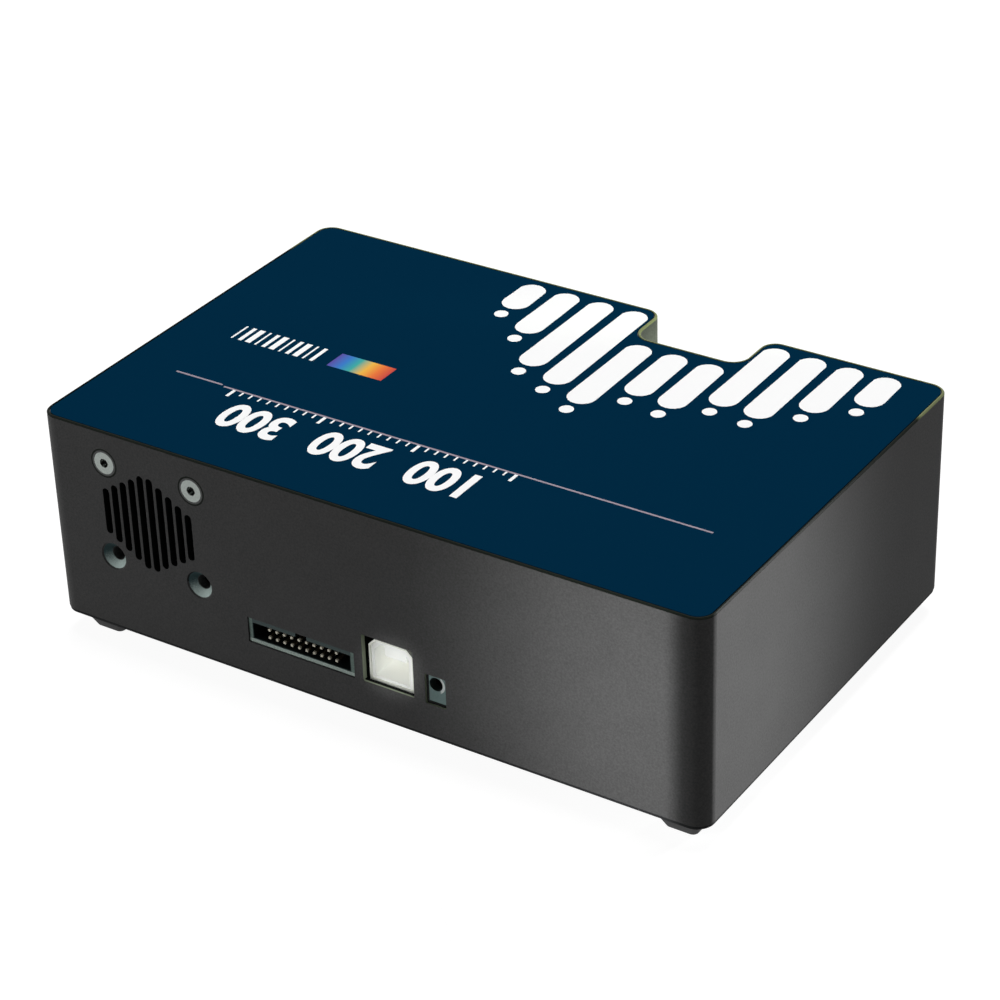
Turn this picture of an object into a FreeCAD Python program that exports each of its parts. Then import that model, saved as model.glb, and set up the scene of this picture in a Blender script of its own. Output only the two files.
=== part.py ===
import FreeCAD, Part
import math
import os
import re
import Sketcher

# A compact cooled fibre-optic spectrometer. X runs along the case, -Y is the face with the
# sockets and the fan grille, +Y the side of the fibre bay, and Z = 0 is the underside of the feet.

Vector = FreeCAD.Vector
Rotation = FreeCAD.Rotation
Placement = FreeCAD.Placement

X_AXIS = Vector(1, 0, 0)
Y_AXIS = Vector(0, 1, 0)
Z_AXIS = Vector(0, 0, 1)

# Driving sizes in millimetres and degrees
SIZES = {
    # Case
    "case_length": 170.0,
    "case_width": 110.0,
    "case_height": 51.7,
    "case_corner": 4.25,
    "case_chamfer": 0.3,
    "wall": 4.0,
    "top_thickness": 4.0,
    "cavity_corner": 2.5,
    "cut_over": 0.5,
    # Fibre bay in the back edge
    "bay_centre": 25.4,
    "bay_width": 27.6,
    "bay_depth": 13.5,
    "bay_corner": 4.0,
    # Printed label let into the lid
    "label_inset": 0.85,
    "label_gap": 0.25,
    "label_thickness": 0.4,
    "label_sink": 0.05,
    # Base plate with a thin flange under the walls
    "flange": 0.8,
    "flange_inset": 0.2,
    "base_thickness": 5.0,
    "base_clearance": 0.2,
    "mount_hole_x": 50.0,
    "mount_hole_y": 30.0,
    "mount_hole_radius": 2.0,
    "mount_hole_depth": 4.0,
    # Feet
    "foot_height": 5.8,
    "foot_top": 12.7,
    "foot_bottom": 7.5,
    "foot_inset": 8.9,
    "foot_corner_top": 2.6,
    "foot_corner_bottom": 1.5,
    # Screws between case and base
    "boss_radius": 3.2,
    "boss_setback": 2.7,
    "boss_height": 14.0,
    "boss_hole_depth": 8.0,
    "side_screw_y": 22.0,
    "end_screw_left_inset": 1.0,
    "end_screw_right_inset": 18.0,
    "case_screw_length": 10.0,
    # Metric three fastener
    "screw_radius": 1.5,
    "screw_clearance": 0.1,
    "sunk_head_radius": 3.1,
    "sunk_head_clearance": 0.1,
    "pan_head_radius": 2.75,
    "pan_head_height": 1.8,
    "key_width": 2.0,
    "key_depth": 1.1,
    # Fan and its grilles
    "fan_setback": 29.7,
    "fan_z": 31.5,
    "fan_size": 30.0,
    "fan_depth": 10.0,
    "fan_corner": 2.0,
    "fan_pitch": 24.2,
    "fan_hole_radius": 1.7,
    "fan_bore_radius": 14.0,
    "fan_screw_head_radius": 3.15,
    "fan_screw_length": 9.0,
    "fan_sunk_radius": 3.5,
    "grille_offset": -0.95,
    "grille_z": 31.2,
    "grille_pitch": 2.55,
    "grille_slot_width": 1.85,
    "grille_longest": 23.9,
    "grille_step": 3.05,
    "strut_width": 2.2,
    "strut_thickness": 1.2,
    "motor_seat_radius": 7.2,
    "bearing_tube_radius": 2.6,
    "bearing_radius": 1.7,
    "bearing_fit": 0.02,
    "bearing_length": 5.6,
    "shaft_radius": 0.75,
    "shaft_clearance": 0.04,
    "shaft_length": 6.4,
    "rotor_front": 0.9,
    "rotor_radius": 7.6,
    "rotor_wall": 0.8,
    "rotor_height": 6.6,
    "blade_tip_radius": 13.0,
    "blade_root_chord": 6.0,
    "blade_tip_chord": 8.0,
    "blade_thickness": 0.8,
    "blade_root_angle": 50.0,
    "blade_tip_angle": 35.0,
    "magnet_thickness": 1.0,
    "magnet_height": 4.6,
    "magnet_fit": 0.02,
    "stator_reach": 4.9,
    "stator_hub_radius": 3.6,
    "stator_fit": 0.02,
    "stator_height": 3.4,
    "tooth_width": 1.8,
    "pole_width": 4.6,
    "pole_depth": 0.8,
    "fan_board_radius": 6.6,
    "fan_board_thickness": 0.8,
    # Circuit board
    "board_side_gap": 6.6,
    "board_right": 42.0,
    "board_back_gap": 1.5,
    "board_edge_gap": 0.4,
    "board_thickness": 1.6,
    "board_corner": 1.5,
    "standoff_height": 2.4,
    "standoff_radius": 3.0,
    "standoff_inset": 4.6,
    "board_screw_length": 6.0,
    "board_thread_depth": 3.0,
    "boss_notch_gap": 0.8,
    "pillar_hole_gap": 0.6,
    "chip_height": 1.4,
    "processor_side": 14.0,
    "processor_x": -8.0,
    "processor_y": -16.0,
    "inductor_radius": 4.2,
    "inductor_height": 4.0,
    "inductor_x": 28.0,
    "inductor_y": -24.0,
    # Ten by two pin header
    "header_beside_fan": 39.15,
    "header_width": 28.2,
    "header_height": 6.1,
    "header_depth": 9.2,
    "header_recess": 0.3,
    "header_wall": 1.0,
    "header_back": 2.4,
    "header_gap": 0.2,
    "header_key_width": 3.0,
    "pin_columns": 10.0,
    "pin_pitch": 2.0,
    "pin_width": 0.6,
    "pin_recess": 0.5,
    "pin_passage_radius": 0.45,
    "pin_tail": 1.3,
    # Square data socket
    "usb_beside_header": 23.2,
    "usb_width": 11.6,
    "usb_height": 10.7,
    "usb_depth": 15.6,
    "usb_recess": 1.4,
    "usb_bevel": 1.7,
    "usb_wall": 0.4,
    "usb_cut_width": 13.3,
    "usb_cut_height": 12.0,
    "usb_cut_corner": 0.4,
    "usb_insert_gap": 0.1,
    "usb_insert_setback": 0.3,
    "usb_mouth_width": 8.9,
    "usb_mouth_height": 8.4,
    "usb_mouth_bevel": 1.5,
    "usb_mouth_depth": 9.4,
    "tongue_width": 5.6,
    "tongue_height": 2.8,
    "tongue_headroom": 0.85,
    "tongue_length": 8.0,
    "usb_contact_width": 1.1,
    "usb_contact_thickness": 0.2,
    "usb_contact_length": 6.8,
    # Power socket
    "dc_beside_usb": 12.23,
    "dc_width": 4.9,
    "dc_height": 7.2,
    "dc_depth": 11.0,
    "dc_recess": 0.4,
    "dc_gap": 0.2,
    "dc_edge": 0.4,
    "dc_hole_lift": 5.2,
    "dc_hole_radius": 1.65,
    "dc_hole_depth": 8.5,
    "dc_sleeve_wall": 0.2,
    "dc_pin_radius": 0.5,
    "dc_pin_length": 6.5,
    # Optical bench
    "bench_cooler_room": 44.0,
    "bench_front_gap": 5.0,
    "bench_rim": 24.6,
    "bench_floor": 3.6,
    "bench_wall": 4.0,
    "bench_corner": 3.0,
    "bench_gap": 0.5,
    "bench_side_gap": 7.0,
    "cover_thickness": 1.8,
    "cover_screw_radius": 1.0,
    "cover_head_radius": 1.8,
    "cover_screw_length": 5.0,
    "pillar_height": 15.2,
    "pillar_radius": 4.0,
    "pillar_inset_x": 10.0,
    "pillar_inset_y": 8.0,
    "pillar_screw_length": 9.0,
    "bench_screw_length": 8.0,
    "baffle_thickness": 1.2,
    "baffle_height": 19.0,
    "baffle_length": 24.0,
    "baffle_inset": 23.0,
    # Optics
    "optic_height": 12.0,
    "optic_clearance": 0.1,
    "mirror_radius": 8.0,
    "mirror_thickness": 5.0,
    "collimator_curvature": 125.0,
    "focusing_curvature": 190.0,
    "mount_lip": 1.5,
    "mount_back": 6.5,
    "mount_width": 20.0,
    "mount_height": 20.5,
    "toe_length": 5.0,
    "toe_height": 2.5,
    "toe_hole_x": 2.3,
    "toe_hole_y": 6.4,
    "optic_screw_radius": 1.0,
    "optic_head_radius": 1.9,
    "optic_head_height": 1.4,
    "optic_screw_length": 5.0,
    "collimator_setback": 13.0,
    "grating_inset": 42.0,
    "grating_setback": 25.0,
    "grating_side": 16.0,
    "grating_thickness": 5.0,
    "grating_turn": 6.0,
    "grating_base_radius": 11.0,
    "focusing_inset": 15.0,
    "focusing_setback": 25.0,
    # Fibre connector and entrance slit
    "thread_radius": 3.175,
    "nose_length": 8.0,
    "nose_chamfer": 0.35,
    "relief_radius": 2.8,
    "relief_length": 0.8,
    "ferrule_radius": 1.6,
    "ferrule_depth": 9.4,
    "light_hole_radius": 0.8,
    "hex_width": 8.0,
    "hex_thickness": 2.0,
    "washer_thickness": 0.5,
    "washer_radius": 4.6,
    "nut_thickness": 2.2,
    "thread_clearance": 0.1,
    "thread_end": 1.4,
    "slit_radius": 2.4,
    "slit_thickness": 0.2,
    "slit_width": 0.1,
    "slit_length": 1.2,
    "holder_radius": 4.2,
    "holder_wall": 1.2,
    "holder_grip": 1.0,
    # Detector, cooler and heat sink
    "detector_y": 0.0,
    "window_length": 30.0,
    "window_height": 9.0,
    "window_gap": 0.2,
    "window_thickness": 0.8,
    "filter_length": 34.0,
    "filter_height": 12.0,
    "filter_thickness": 1.0,
    "detector_length": 42.0,
    "detector_height": 14.0,
    "detector_thickness": 3.2,
    "sensor_board_length": 50.0,
    "sensor_board_height": 22.0,
    "sensor_board_thickness": 1.6,
    "finger_length": 34.0,
    "finger_height": 7.0,
    "finger_gap": 0.5,
    "finger_reach": 2.8,
    "cold_plate_length": 36.0,
    "cold_plate_height": 21.0,
    "cold_plate_thickness": 2.5,
    "peltier_length": 30.0,
    "peltier_height": 20.0,
    "peltier_thickness": 3.4,
    "sink_length": 64.0,
    "sink_height": 22.0,
    "sink_base": 4.0,
    "fin_length": 50.0,
    "fin_reach": 20.0,
    "fin_thickness": 1.2,
    "fin_count": 7.0,
    "sink_screw_y": 28.0,
    "spacer_radius": 2.4,
    "sink_screw_grip": 3.4,
    # Flat cable from the detector board to the main board
    "cable_y": 21.6,
    "cable_width": 4.6,
    "cable_thickness": 0.3,
    "cable_bend": 2.0,
    "cable_step": 4.0,
    "cable_kink_drop": 6.0,
    "socket_width": 6.0,
    "socket_height": 3.4,
    "socket_thickness": 2.2,
    "sensor_socket_drop": 9.5,
}

doc = FreeCAD.newDocument("Spectrometer")
sheet = doc.addObject("Spreadsheet::Sheet", "Sizes")
for row, (alias, amount) in enumerate(SIZES.items(), start=1):
    sheet.set(f"A{row}", alias)
    sheet.set(f"B{row}", str(amount))
    sheet.setAlias(f"B{row}", alias)
doc.recompute()

# Levels and faces that several pieces share, worked out from the driving sizes
BASE_TOP = "(foot_height + base_thickness)"
FLANGE_TOP = "(foot_height + flange)"
CASE_TOP = "(foot_height + case_height)"
CASE_FRONT = "(-case_width / 2)"
CASE_BACK = "(case_width / 2)"
FRONT_WALL_INSIDE = "(wall - case_width / 2)"
BAY_FLOOR = "(case_width / 2 - bay_depth)"
SIDE_SCREW_X = "(case_length / 2 - wall - boss_setback)"
END_SCREW_Y = "(case_width / 2 - wall - boss_setback)"
BOARD_BOTTOM = "(foot_height + base_thickness + standoff_height)"
BOARD_TOP = "(foot_height + base_thickness + standoff_height + board_thickness)"
BOARD_FRONT = "(wall - case_width / 2 + board_edge_gap)"
BOARD_BACK = "(case_width / 2 - bay_depth - wall - board_back_gap)"
BOARD_LEFT = "(wall + board_side_gap - case_length / 2)"
FAN_X = "(fan_setback - case_length / 2)"
FAN_Z = "(foot_height + fan_z)"
HEADER_X = f"({FAN_X} + header_beside_fan)"
USB_X = f"({HEADER_X} + usb_beside_header)"
DC_X = f"({USB_X} + dc_beside_usb)"
BENCH_RIGHT = "(case_length / 2 - wall - bench_side_gap)"
BENCH_LEFT = "(wall + bench_cooler_room - case_length / 2)"
BENCH_BACK = "(case_width / 2 - bay_depth - wall - bench_gap)"
BENCH_FRONT = "(wall + bench_front_gap - case_width / 2)"
BENCH_LENGTH = f"({BENCH_RIGHT} - {BENCH_LEFT})"
BENCH_WIDTH = f"({BENCH_BACK} - {BENCH_FRONT})"
BENCH_BOTTOM = "(foot_height + base_thickness + pillar_height)"
BENCH_FLOOR = "(foot_height + base_thickness + pillar_height + bench_floor)"
BENCH_TOP = "(foot_height + base_thickness + pillar_height + bench_rim)"
OPTIC_Z = "(foot_height + base_thickness + pillar_height + bench_floor + optic_height)"
COLLIMATOR_Y = f"({BENCH_FRONT} + collimator_setback)"
GRATING_X = f"({BENCH_LEFT} + grating_inset)"
GRATING_Y = f"({BENCH_BACK} - grating_setback)"
FOCUSING_X = f"({BENCH_RIGHT} - focusing_inset)"
FOCUSING_Y = f"({BENCH_FRONT} + focusing_setback)"
END_SCREW_LEFT = f"({BENCH_LEFT} + end_screw_left_inset)"
END_SCREW_RIGHT = f"({BENCH_RIGHT} - end_screw_right_inset)"
DETECTOR_BACK = f"({BENCH_LEFT} - detector_thickness)"
SENSOR_BOARD_BACK = f"({DETECTOR_BACK} - sensor_board_thickness)"
COLD_PLATE_FRONT = f"({DETECTOR_BACK} - finger_reach)"
COLD_PLATE_BACK = f"({COLD_PLATE_FRONT} - cold_plate_thickness)"
SINK_FRONT = f"({COLD_PLATE_BACK} - peltier_thickness)"
SINK_BACK = f"({SINK_FRONT} - sink_base)"


def bound(expression):
    """The expression with every size read from the sheet."""

    def from_sheet(word):
        return "Sizes." + word[0] if word[0] in SIZES else word[0]

    return re.sub(r"[a-z][a-z_0-9]*", from_sheet, expression)


def number(expression):
    """The present value of an expression."""
    result = sheet.evalExpression(bound(expression))
    return float(getattr(result, "Value", result))


def bind(thing, prop, expression):
    """Tie one property to the sheet."""
    thing.setExpression(prop, bound(expression))


def place(thing, x, y, z, axis=Z_AXIS, angle="0"):
    """Put an object at a bound place, turned by a bound angle."""
    thing.Placement = Placement(Vector(number(x), number(y), number(z)), Rotation(axis, number(angle)))
    bind(thing, "Placement.Base.x", x)
    bind(thing, "Placement.Base.y", y)
    bind(thing, "Placement.Base.z", z)
    if angle != "0":
        bind(thing, "Placement.Rotation.Angle", angle)


def spot(x, y, z, rotation=Rotation()):
    """A placement at the present value of three expressions."""
    return Placement(Vector(number(x), number(y), number(z)), rotation)


# Sketches


def new_body(label, x="0", y="0", z="0", axis=Z_AXIS, angle="0"):
    """An empty body with its own name and place."""
    body = doc.addObject("PartDesign::Body", label)
    body.Label = label
    place(body, x, y, z, axis, angle)
    return body


def new_sketch(body, plane, offset="0", turn="0"):
    """A sketch parallel to one of the body's own planes."""
    sketch = body.newObject("Sketcher::SketchObject", body.Label + "_sketch")
    support = next(item for item in body.Origin.OriginFeatures if item.Role == plane)
    sketch.AttachmentSupport = [(support, "")]
    sketch.MapMode = "FlatFace"
    bind(sketch, "AttachmentOffset.Base.z", offset)
    if turn != "0":
        bind(sketch, "AttachmentOffset.Rotation.Angle", turn)
    return sketch


def dimension(sketch, kind, *where, value):
    """A sketch dimension bound to an expression."""
    index = sketch.addConstraint(Sketcher.Constraint(kind, *where, number(value)))
    bind(sketch, f"Constraints[{index}]", value)


def pin_point(sketch, geometry, point, x, y):
    """Hold one point of a sketch at bound coordinates."""
    dimension(sketch, "DistanceX", -1, 1, geometry, point, value=x)
    dimension(sketch, "DistanceY", -1, 1, geometry, point, value=y)


def corner_arc(corner, before, after, radius):
    """The rounding of one corner and where it meets the lines before and after it."""
    inward = (before - corner).normalize()
    outward = (after - corner).normalize()
    half = inward.getAngle(outward) / 2
    reach = radius / math.tan(half)
    first = corner + inward * reach
    last = corner + outward * reach
    middle = (inward + outward).normalize()
    centre = corner + middle * (radius / math.sin(half))
    turns_left = inward.cross(outward).z < 0
    start, end = (first, last) if turns_left else (last, first)
    start_angle = math.atan2(start.y - centre.y, start.x - centre.x)
    end_angle = math.atan2(end.y - centre.y, end.x - centre.x)
    if end_angle < start_angle:
        end_angle += 2 * math.pi
    arc = Part.ArcOfCircle(Part.Circle(centre, Z_AXIS, radius), start_angle, end_angle)
    return arc, first, last, turns_left


def profile(sketch, corners):
    """A closed outline through the corners, rounded where a corner gives a radius."""
    points = [Vector(number(corner[0]), number(corner[1]), 0) for corner in corners]
    count = len(points)
    rounds = {}
    first_points = list(points)
    last_points = list(points)
    for i, corner in enumerate(corners):
        if len(corner) > 2:
            arc, first, last, turns_left = corner_arc(
                points[i], points[i - 1], points[(i + 1) % count], number(corner[2])
            )
            rounds[i] = (arc, turns_left)
            first_points[i] = first
            last_points[i] = last
    lines = [
        sketch.addGeometry(Part.LineSegment(last_points[i], first_points[(i + 1) % count]))
        for i in range(count)
    ]
    for i, corner in enumerate(corners):
        line_in, line_out = lines[i - 1], lines[i]
        if i not in rounds:
            sketch.addConstraint(Sketcher.Constraint("Coincident", line_in, 2, line_out, 1))
            pin_point(sketch, line_out, 1, corner[0], corner[1])
            continue
        arc, turns_left = rounds[i]
        arc_index = sketch.addGeometry(arc)
        near, far = (1, 2) if turns_left else (2, 1)
        sketch.addConstraint(Sketcher.Constraint("Tangent", line_in, 2, arc_index, near))
        sketch.addConstraint(Sketcher.Constraint("Tangent", arc_index, far, line_out, 1))
        tip = sketch.addGeometry(Part.Point(points[i]), True)
        sketch.addConstraint(Sketcher.Constraint("PointOnObject", tip, 1, line_in))
        sketch.addConstraint(Sketcher.Constraint("PointOnObject", tip, 1, line_out))
        pin_point(sketch, tip, 1, corner[0], corner[1])
        dimension(sketch, "Radius", arc_index, value=corner[2])


def rectangle(sketch, left, bottom, width, height, radius=None):
    """A rectangle from its lower left corner."""
    rounding = () if radius is None else (radius,)
    right = f"{left} + {width}"
    top = f"{bottom} + {height}"
    corners = ((left, bottom), (right, bottom), (right, top), (left, top))
    profile(sketch, [corner + rounding for corner in corners])


def centred(sketch, x, y, width, height, radius=None):
    """A rectangle about its centre."""
    rectangle(sketch, f"{x} - {width} / 2", f"{y} - {height} / 2", width, height, radius)


def circle(sketch, x, y, radius):
    """A circle about a bound centre."""
    shape = Part.Circle(Vector(number(x), number(y), 0), Z_AXIS, number(radius))
    index = sketch.addGeometry(shape)
    pin_point(sketch, index, 3, x, y)
    dimension(sketch, "Radius", index, value=radius)


def slot(sketch, x, y, width, length):
    """An upright slot with round ends."""
    radius = number(width) / 2
    rise = (number(length) - number(width)) / 2
    across, up = number(x), number(y)
    top_circle = Part.Circle(Vector(across, up + rise, 0), Z_AXIS, radius)
    bottom_circle = Part.Circle(Vector(across, up - rise, 0), Z_AXIS, radius)
    top = sketch.addGeometry(Part.ArcOfCircle(top_circle, 0, math.pi))
    bottom = sketch.addGeometry(Part.ArcOfCircle(bottom_circle, math.pi, 2 * math.pi))
    right = sketch.addGeometry(
        Part.LineSegment(Vector(across + radius, up - rise, 0), Vector(across + radius, up + rise, 0))
    )
    left = sketch.addGeometry(
        Part.LineSegment(Vector(across - radius, up + rise, 0), Vector(across - radius, up - rise, 0))
    )
    for joint in ((bottom, 2, right, 1), (right, 2, top, 1), (top, 2, left, 1), (left, 2, bottom, 1)):
        sketch.addConstraint(Sketcher.Constraint("Tangent", *joint))
    sketch.addConstraint(Sketcher.Constraint("Equal", top, bottom))
    pin_point(sketch, top, 3, x, f"{y} + ({length} - {width}) / 2")
    pin_point(sketch, bottom, 3, x, f"{y} - ({length} - {width}) / 2")
    dimension(sketch, "Radius", top, value=f"{width} / 2")


def hexagon(sketch, across_flats):
    """A hexagon about the sketch's origin."""
    reach = f"{across_flats} / sqrt(3)"
    turns = [f"({60 * k} deg)" for k in range(6)]
    profile(sketch, [(f"{reach} * cos{turn}", f"{reach} * sin{turn}") for turn in turns])


# Features


def add_feature(kind, sketch):
    """A sketch-based feature of the sketch's own body."""
    body = sketch.getParentGeoFeatureGroup()
    made = body.newObject("PartDesign::" + kind, f"{body.Label}_{kind.lower()}")
    made.Profile = sketch
    return made


def pad(sketch, length, reverse=False, symmetric=False):
    """Raise a sketch along its plane's normal."""
    made = add_feature("Pad", sketch)
    bind(made, "Length", length)
    made.Reversed = reverse
    if symmetric:
        made.SideType = "Symmetric"
    return made


def pocket(sketch, length, reverse=False):
    """Cut a sketch against its plane's normal, or along it when reversed."""
    made = add_feature("Pocket", sketch)
    bind(made, "Length", length)
    made.Reversed = reverse
    return made


def revolve(sketch, axis="V_Axis"):
    """Turn a sketch a full circle about one of its own axes."""
    made = add_feature("Revolution", sketch)
    made.ReferenceAxis = (sketch, [axis])
    return made


def sunk_holes(sketch, radius, head_radius, depth, reverse):
    """Countersunk holes at a sketch's circles."""
    doc.recompute()
    made = add_feature("Hole", sketch)
    made.Reversed = reverse
    made.DepthType = "Dimension"
    made.DrillPoint = "Flat"
    made.HoleCutType = "Countersink"
    made.HoleCutCustomValues = True
    bind(made, "Diameter", f"{radius} * 2")
    bind(made, "Depth", depth)
    bind(made, "HoleCutDiameter", f"{head_radius} * 2")
    return made


def polar(feature, count):
    """Copy a feature round its body's own Z axis."""
    body = feature.getParentGeoFeatureGroup()
    pattern = body.newObject("PartDesign::PolarPattern", body.Label + "_pattern")
    pattern.Originals = [feature]
    pattern.Axis = (next(item for item in body.Origin.OriginFeatures if item.Role == "Z_Axis"), [""])
    pattern.Angle = 360
    pattern.Occurrences = count
    body.Tip = pattern
    return pattern


def box(label, x, y, z, length, width, height):
    """A plain block from its lowest corner."""
    block = doc.addObject("Part::Box", label)
    block.Label = label
    bind(block, "Length", length)
    bind(block, "Width", width)
    bind(block, "Height", height)
    place(block, x, y, z)
    return block


def group(label, master, places):
    """Copies of one piece as separate solids under one name."""
    doc.recompute()
    made = doc.addObject("Part::Feature", label)
    made.Label = label
    copies = []
    for where in places:
        solid = master.Shape.copy()
        solid.Placement = where
        copies.append(solid)
    made.Shape = Part.makeCompound(copies)
    made.Placement = Placement()
    return made


NODES = []


def keep(*things):
    """Mark finished pieces for export."""
    NODES.extend(things)


# Shared outlines and fasteners


def case_outline(sketch, inset, corner, bay_mouth, bay_round):
    """The case's plan with the fibre bay, set in by one distance."""
    right = f"(case_length / 2 - ({inset}))"
    back = f"(case_width / 2 - ({inset}))"
    bay_right = f"bay_centre + bay_width / 2 + ({inset})"
    bay_left = f"bay_centre - bay_width / 2 - ({inset})"
    bay_floor = f"{BAY_FLOOR} - ({inset})"
    profile(sketch, [
        (f"-{right}", f"-{back}", corner),
        (right, f"-{back}", corner),
        (right, back, corner),
        (bay_right, back, bay_mouth),
        (bay_right, bay_floor, bay_round),
        (bay_left, bay_floor, bay_round),
        (bay_left, back, bay_mouth),
        (f"-{right}", back, corner),
    ])


def stepped_outline(sketch, inset):
    """The case's plan set in by a small step, with its roundings kept concentric."""
    outer = f"case_corner - ({inset})"
    case_outline(sketch, inset, outer, f"bay_corner - ({inset})", f"bay_corner + ({inset})")


def sunk_screw(label, head_radius, shank_radius, length):
    """A flat-head screw along Z, its head flush with Z = 0 and its tip below."""
    body = new_body(label)
    section = new_sketch(body, "XZ_Plane")
    profile(section, [
        ("0", "0"),
        (head_radius, "0"),
        (shank_radius, f"{shank_radius} - {head_radius}"),
        (shank_radius, f"-({length})"),
        ("0", f"-({length})"),
    ])
    revolve(section)
    key = new_sketch(body, "XY_Plane")
    hexagon(key, f"{head_radius} * key_width / sunk_head_radius")
    pocket(key, f"{head_radius} * key_depth / sunk_head_radius")
    return body


def cap_screw(label, head_radius, head_height, shank_radius, length):
    """A screw along Z with a round head that stands on Z = 0."""
    body = new_body(label)
    section = new_sketch(body, "XZ_Plane")
    rounding = f"{head_height} * 0.3"
    profile(section, [
        ("0", head_height),
        ("0", f"-({length})"),
        (shank_radius, f"-({length})"),
        (shank_radius, "0"),
        (head_radius, "0"),
        (head_radius, head_height, rounding),
    ])
    revolve(section)
    key = new_sketch(body, "XY_Plane", head_height)
    hexagon(key, f"{head_radius} * key_width / pan_head_radius")
    pocket(key, f"{head_height} * key_depth / pan_head_height")
    return body


CASE_SCREW_PLACES = [
    (SIDE_SCREW_X, "side_screw_y"),
    (SIDE_SCREW_X, "-side_screw_y"),
    (f"-{SIDE_SCREW_X}", "side_screw_y"),
    (f"-{SIDE_SCREW_X}", "-side_screw_y"),
    (END_SCREW_LEFT, f"-{END_SCREW_Y}"),
    (END_SCREW_RIGHT, f"-{END_SCREW_Y}"),
    (END_SCREW_LEFT, END_SCREW_Y),
    (END_SCREW_RIGHT, END_SCREW_Y),
]
PILLAR_PLACES = [
    (x, y)
    for x in (f"{BENCH_LEFT} + pillar_inset_x", f"{BENCH_RIGHT} - pillar_inset_x")
    for y in (f"{BENCH_FRONT} + pillar_inset_y", f"{BENCH_BACK} - pillar_inset_y")
]
STANDOFF_PLACES = [
    (x, y)
    for x in (f"{BOARD_LEFT} + standoff_inset", "board_right - standoff_inset")
    for y in (f"{BOARD_FRONT} + standoff_inset", f"{BOARD_BACK} - standoff_inset")
]


# Case


def grille(sketch):
    """Ten upright slots, longest in the middle."""
    for i in range(10):
        steps = int(abs(i - 4.5))
        slot(
            sketch,
            f"{FAN_X} + grille_offset + grille_pitch * ({i - 4.5})",
            "foot_height + grille_z",
            "grille_slot_width",
            f"(grille_longest - grille_step * {steps})",
        )


def make_housing():
    """The milled lid and walls in one piece, open below."""
    body = new_body("housing")
    shell = new_sketch(body, "XY_Plane", FLANGE_TOP)
    case_outline(shell, "0", "case_corner", "bay_corner", "bay_corner")
    block = pad(shell, "case_height - flange")
    doc.recompute()
    top_z = number(CASE_TOP)
    faces = enumerate(block.Shape.Faces, start=1)
    top_face = next(f"Face{i}" for i, face in faces if abs(face.BoundBox.ZMin - top_z) < 0.001)
    edge = body.newObject("PartDesign::Chamfer", "housing_chamfer")
    edge.Base = (block, [top_face])
    bind(edge, "Size", "case_chamfer")

    cavity = new_sketch(body, "XY_Plane", FLANGE_TOP)
    case_outline(cavity, "wall", "cavity_corner", "cavity_corner", "cavity_corner")
    pocket(cavity, "case_height - flange - top_thickness", reverse=True)
    bosses = new_sketch(body, "XY_Plane", BASE_TOP)
    for x, y in CASE_SCREW_PLACES:
        circle(bosses, x, y, "boss_radius")
    pad(bosses, "boss_height")
    threads = new_sketch(body, "XY_Plane", BASE_TOP)
    for x, y in CASE_SCREW_PLACES:
        circle(threads, x, y, "screw_radius + screw_clearance")
    pocket(threads, "boss_hole_depth", reverse=True)

    recess = new_sketch(body, "XY_Plane", CASE_TOP)
    stepped_outline(recess, "label_inset - label_gap")
    pocket(recess, "label_thickness + label_sink")

    front_slots = new_sketch(body, "XZ_Plane", CASE_BACK)
    grille(front_slots)
    pocket(front_slots, "wall + cut_over")
    back_slots = new_sketch(body, "XZ_Plane", CASE_FRONT)
    grille(back_slots)
    pocket(back_slots, "wall + cut_over", reverse=True)

    sockets = new_sketch(body, "XZ_Plane", CASE_BACK)
    centred(
        sockets,
        HEADER_X,
        f"({BOARD_TOP} + header_height / 2)",
        "(header_width + header_gap * 2)",
        "(header_height + header_gap * 2)",
    )
    centred(
        sockets,
        USB_X,
        f"({BOARD_TOP} + usb_cut_height / 2)",
        "usb_cut_width",
        "usb_cut_height",
        "usb_cut_corner",
    )
    centred(
        sockets,
        DC_X,
        f"({BOARD_TOP} + dc_height / 2)",
        "(dc_width + dc_gap * 2)",
        "(dc_height + dc_gap * 2)",
        "dc_edge",
    )
    pocket(sockets, "wall + cut_over")

    fibre = new_sketch(body, "XZ_Plane", f"-{BAY_FLOOR}")
    circle(fibre, "bay_centre", OPTIC_Z, "thread_radius + thread_clearance")
    pocket(fibre, "wall + cut_over", reverse=True)

    fan_holes = new_sketch(body, "XZ_Plane", CASE_BACK)
    for x in (f"{FAN_X} - fan_pitch / 2", f"{FAN_X} + fan_pitch / 2"):
        circle(fan_holes, x, f"{FAN_Z} + fan_pitch / 2", "fan_hole_radius")
    sunk_holes(fan_holes, "fan_hole_radius", "fan_screw_head_radius", "wall + cut_over", False)
    spare_holes = new_sketch(body, "XZ_Plane", CASE_BACK)
    for x in (f"{FAN_X} - fan_pitch / 2", f"{FAN_X} + fan_pitch / 2"):
        circle(spare_holes, x, f"{FAN_Z} - fan_pitch / 2", "fan_hole_radius")
    sunk_holes(spare_holes, "fan_hole_radius", "fan_sunk_radius", "wall + cut_over", False)
    keep(body)


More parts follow.
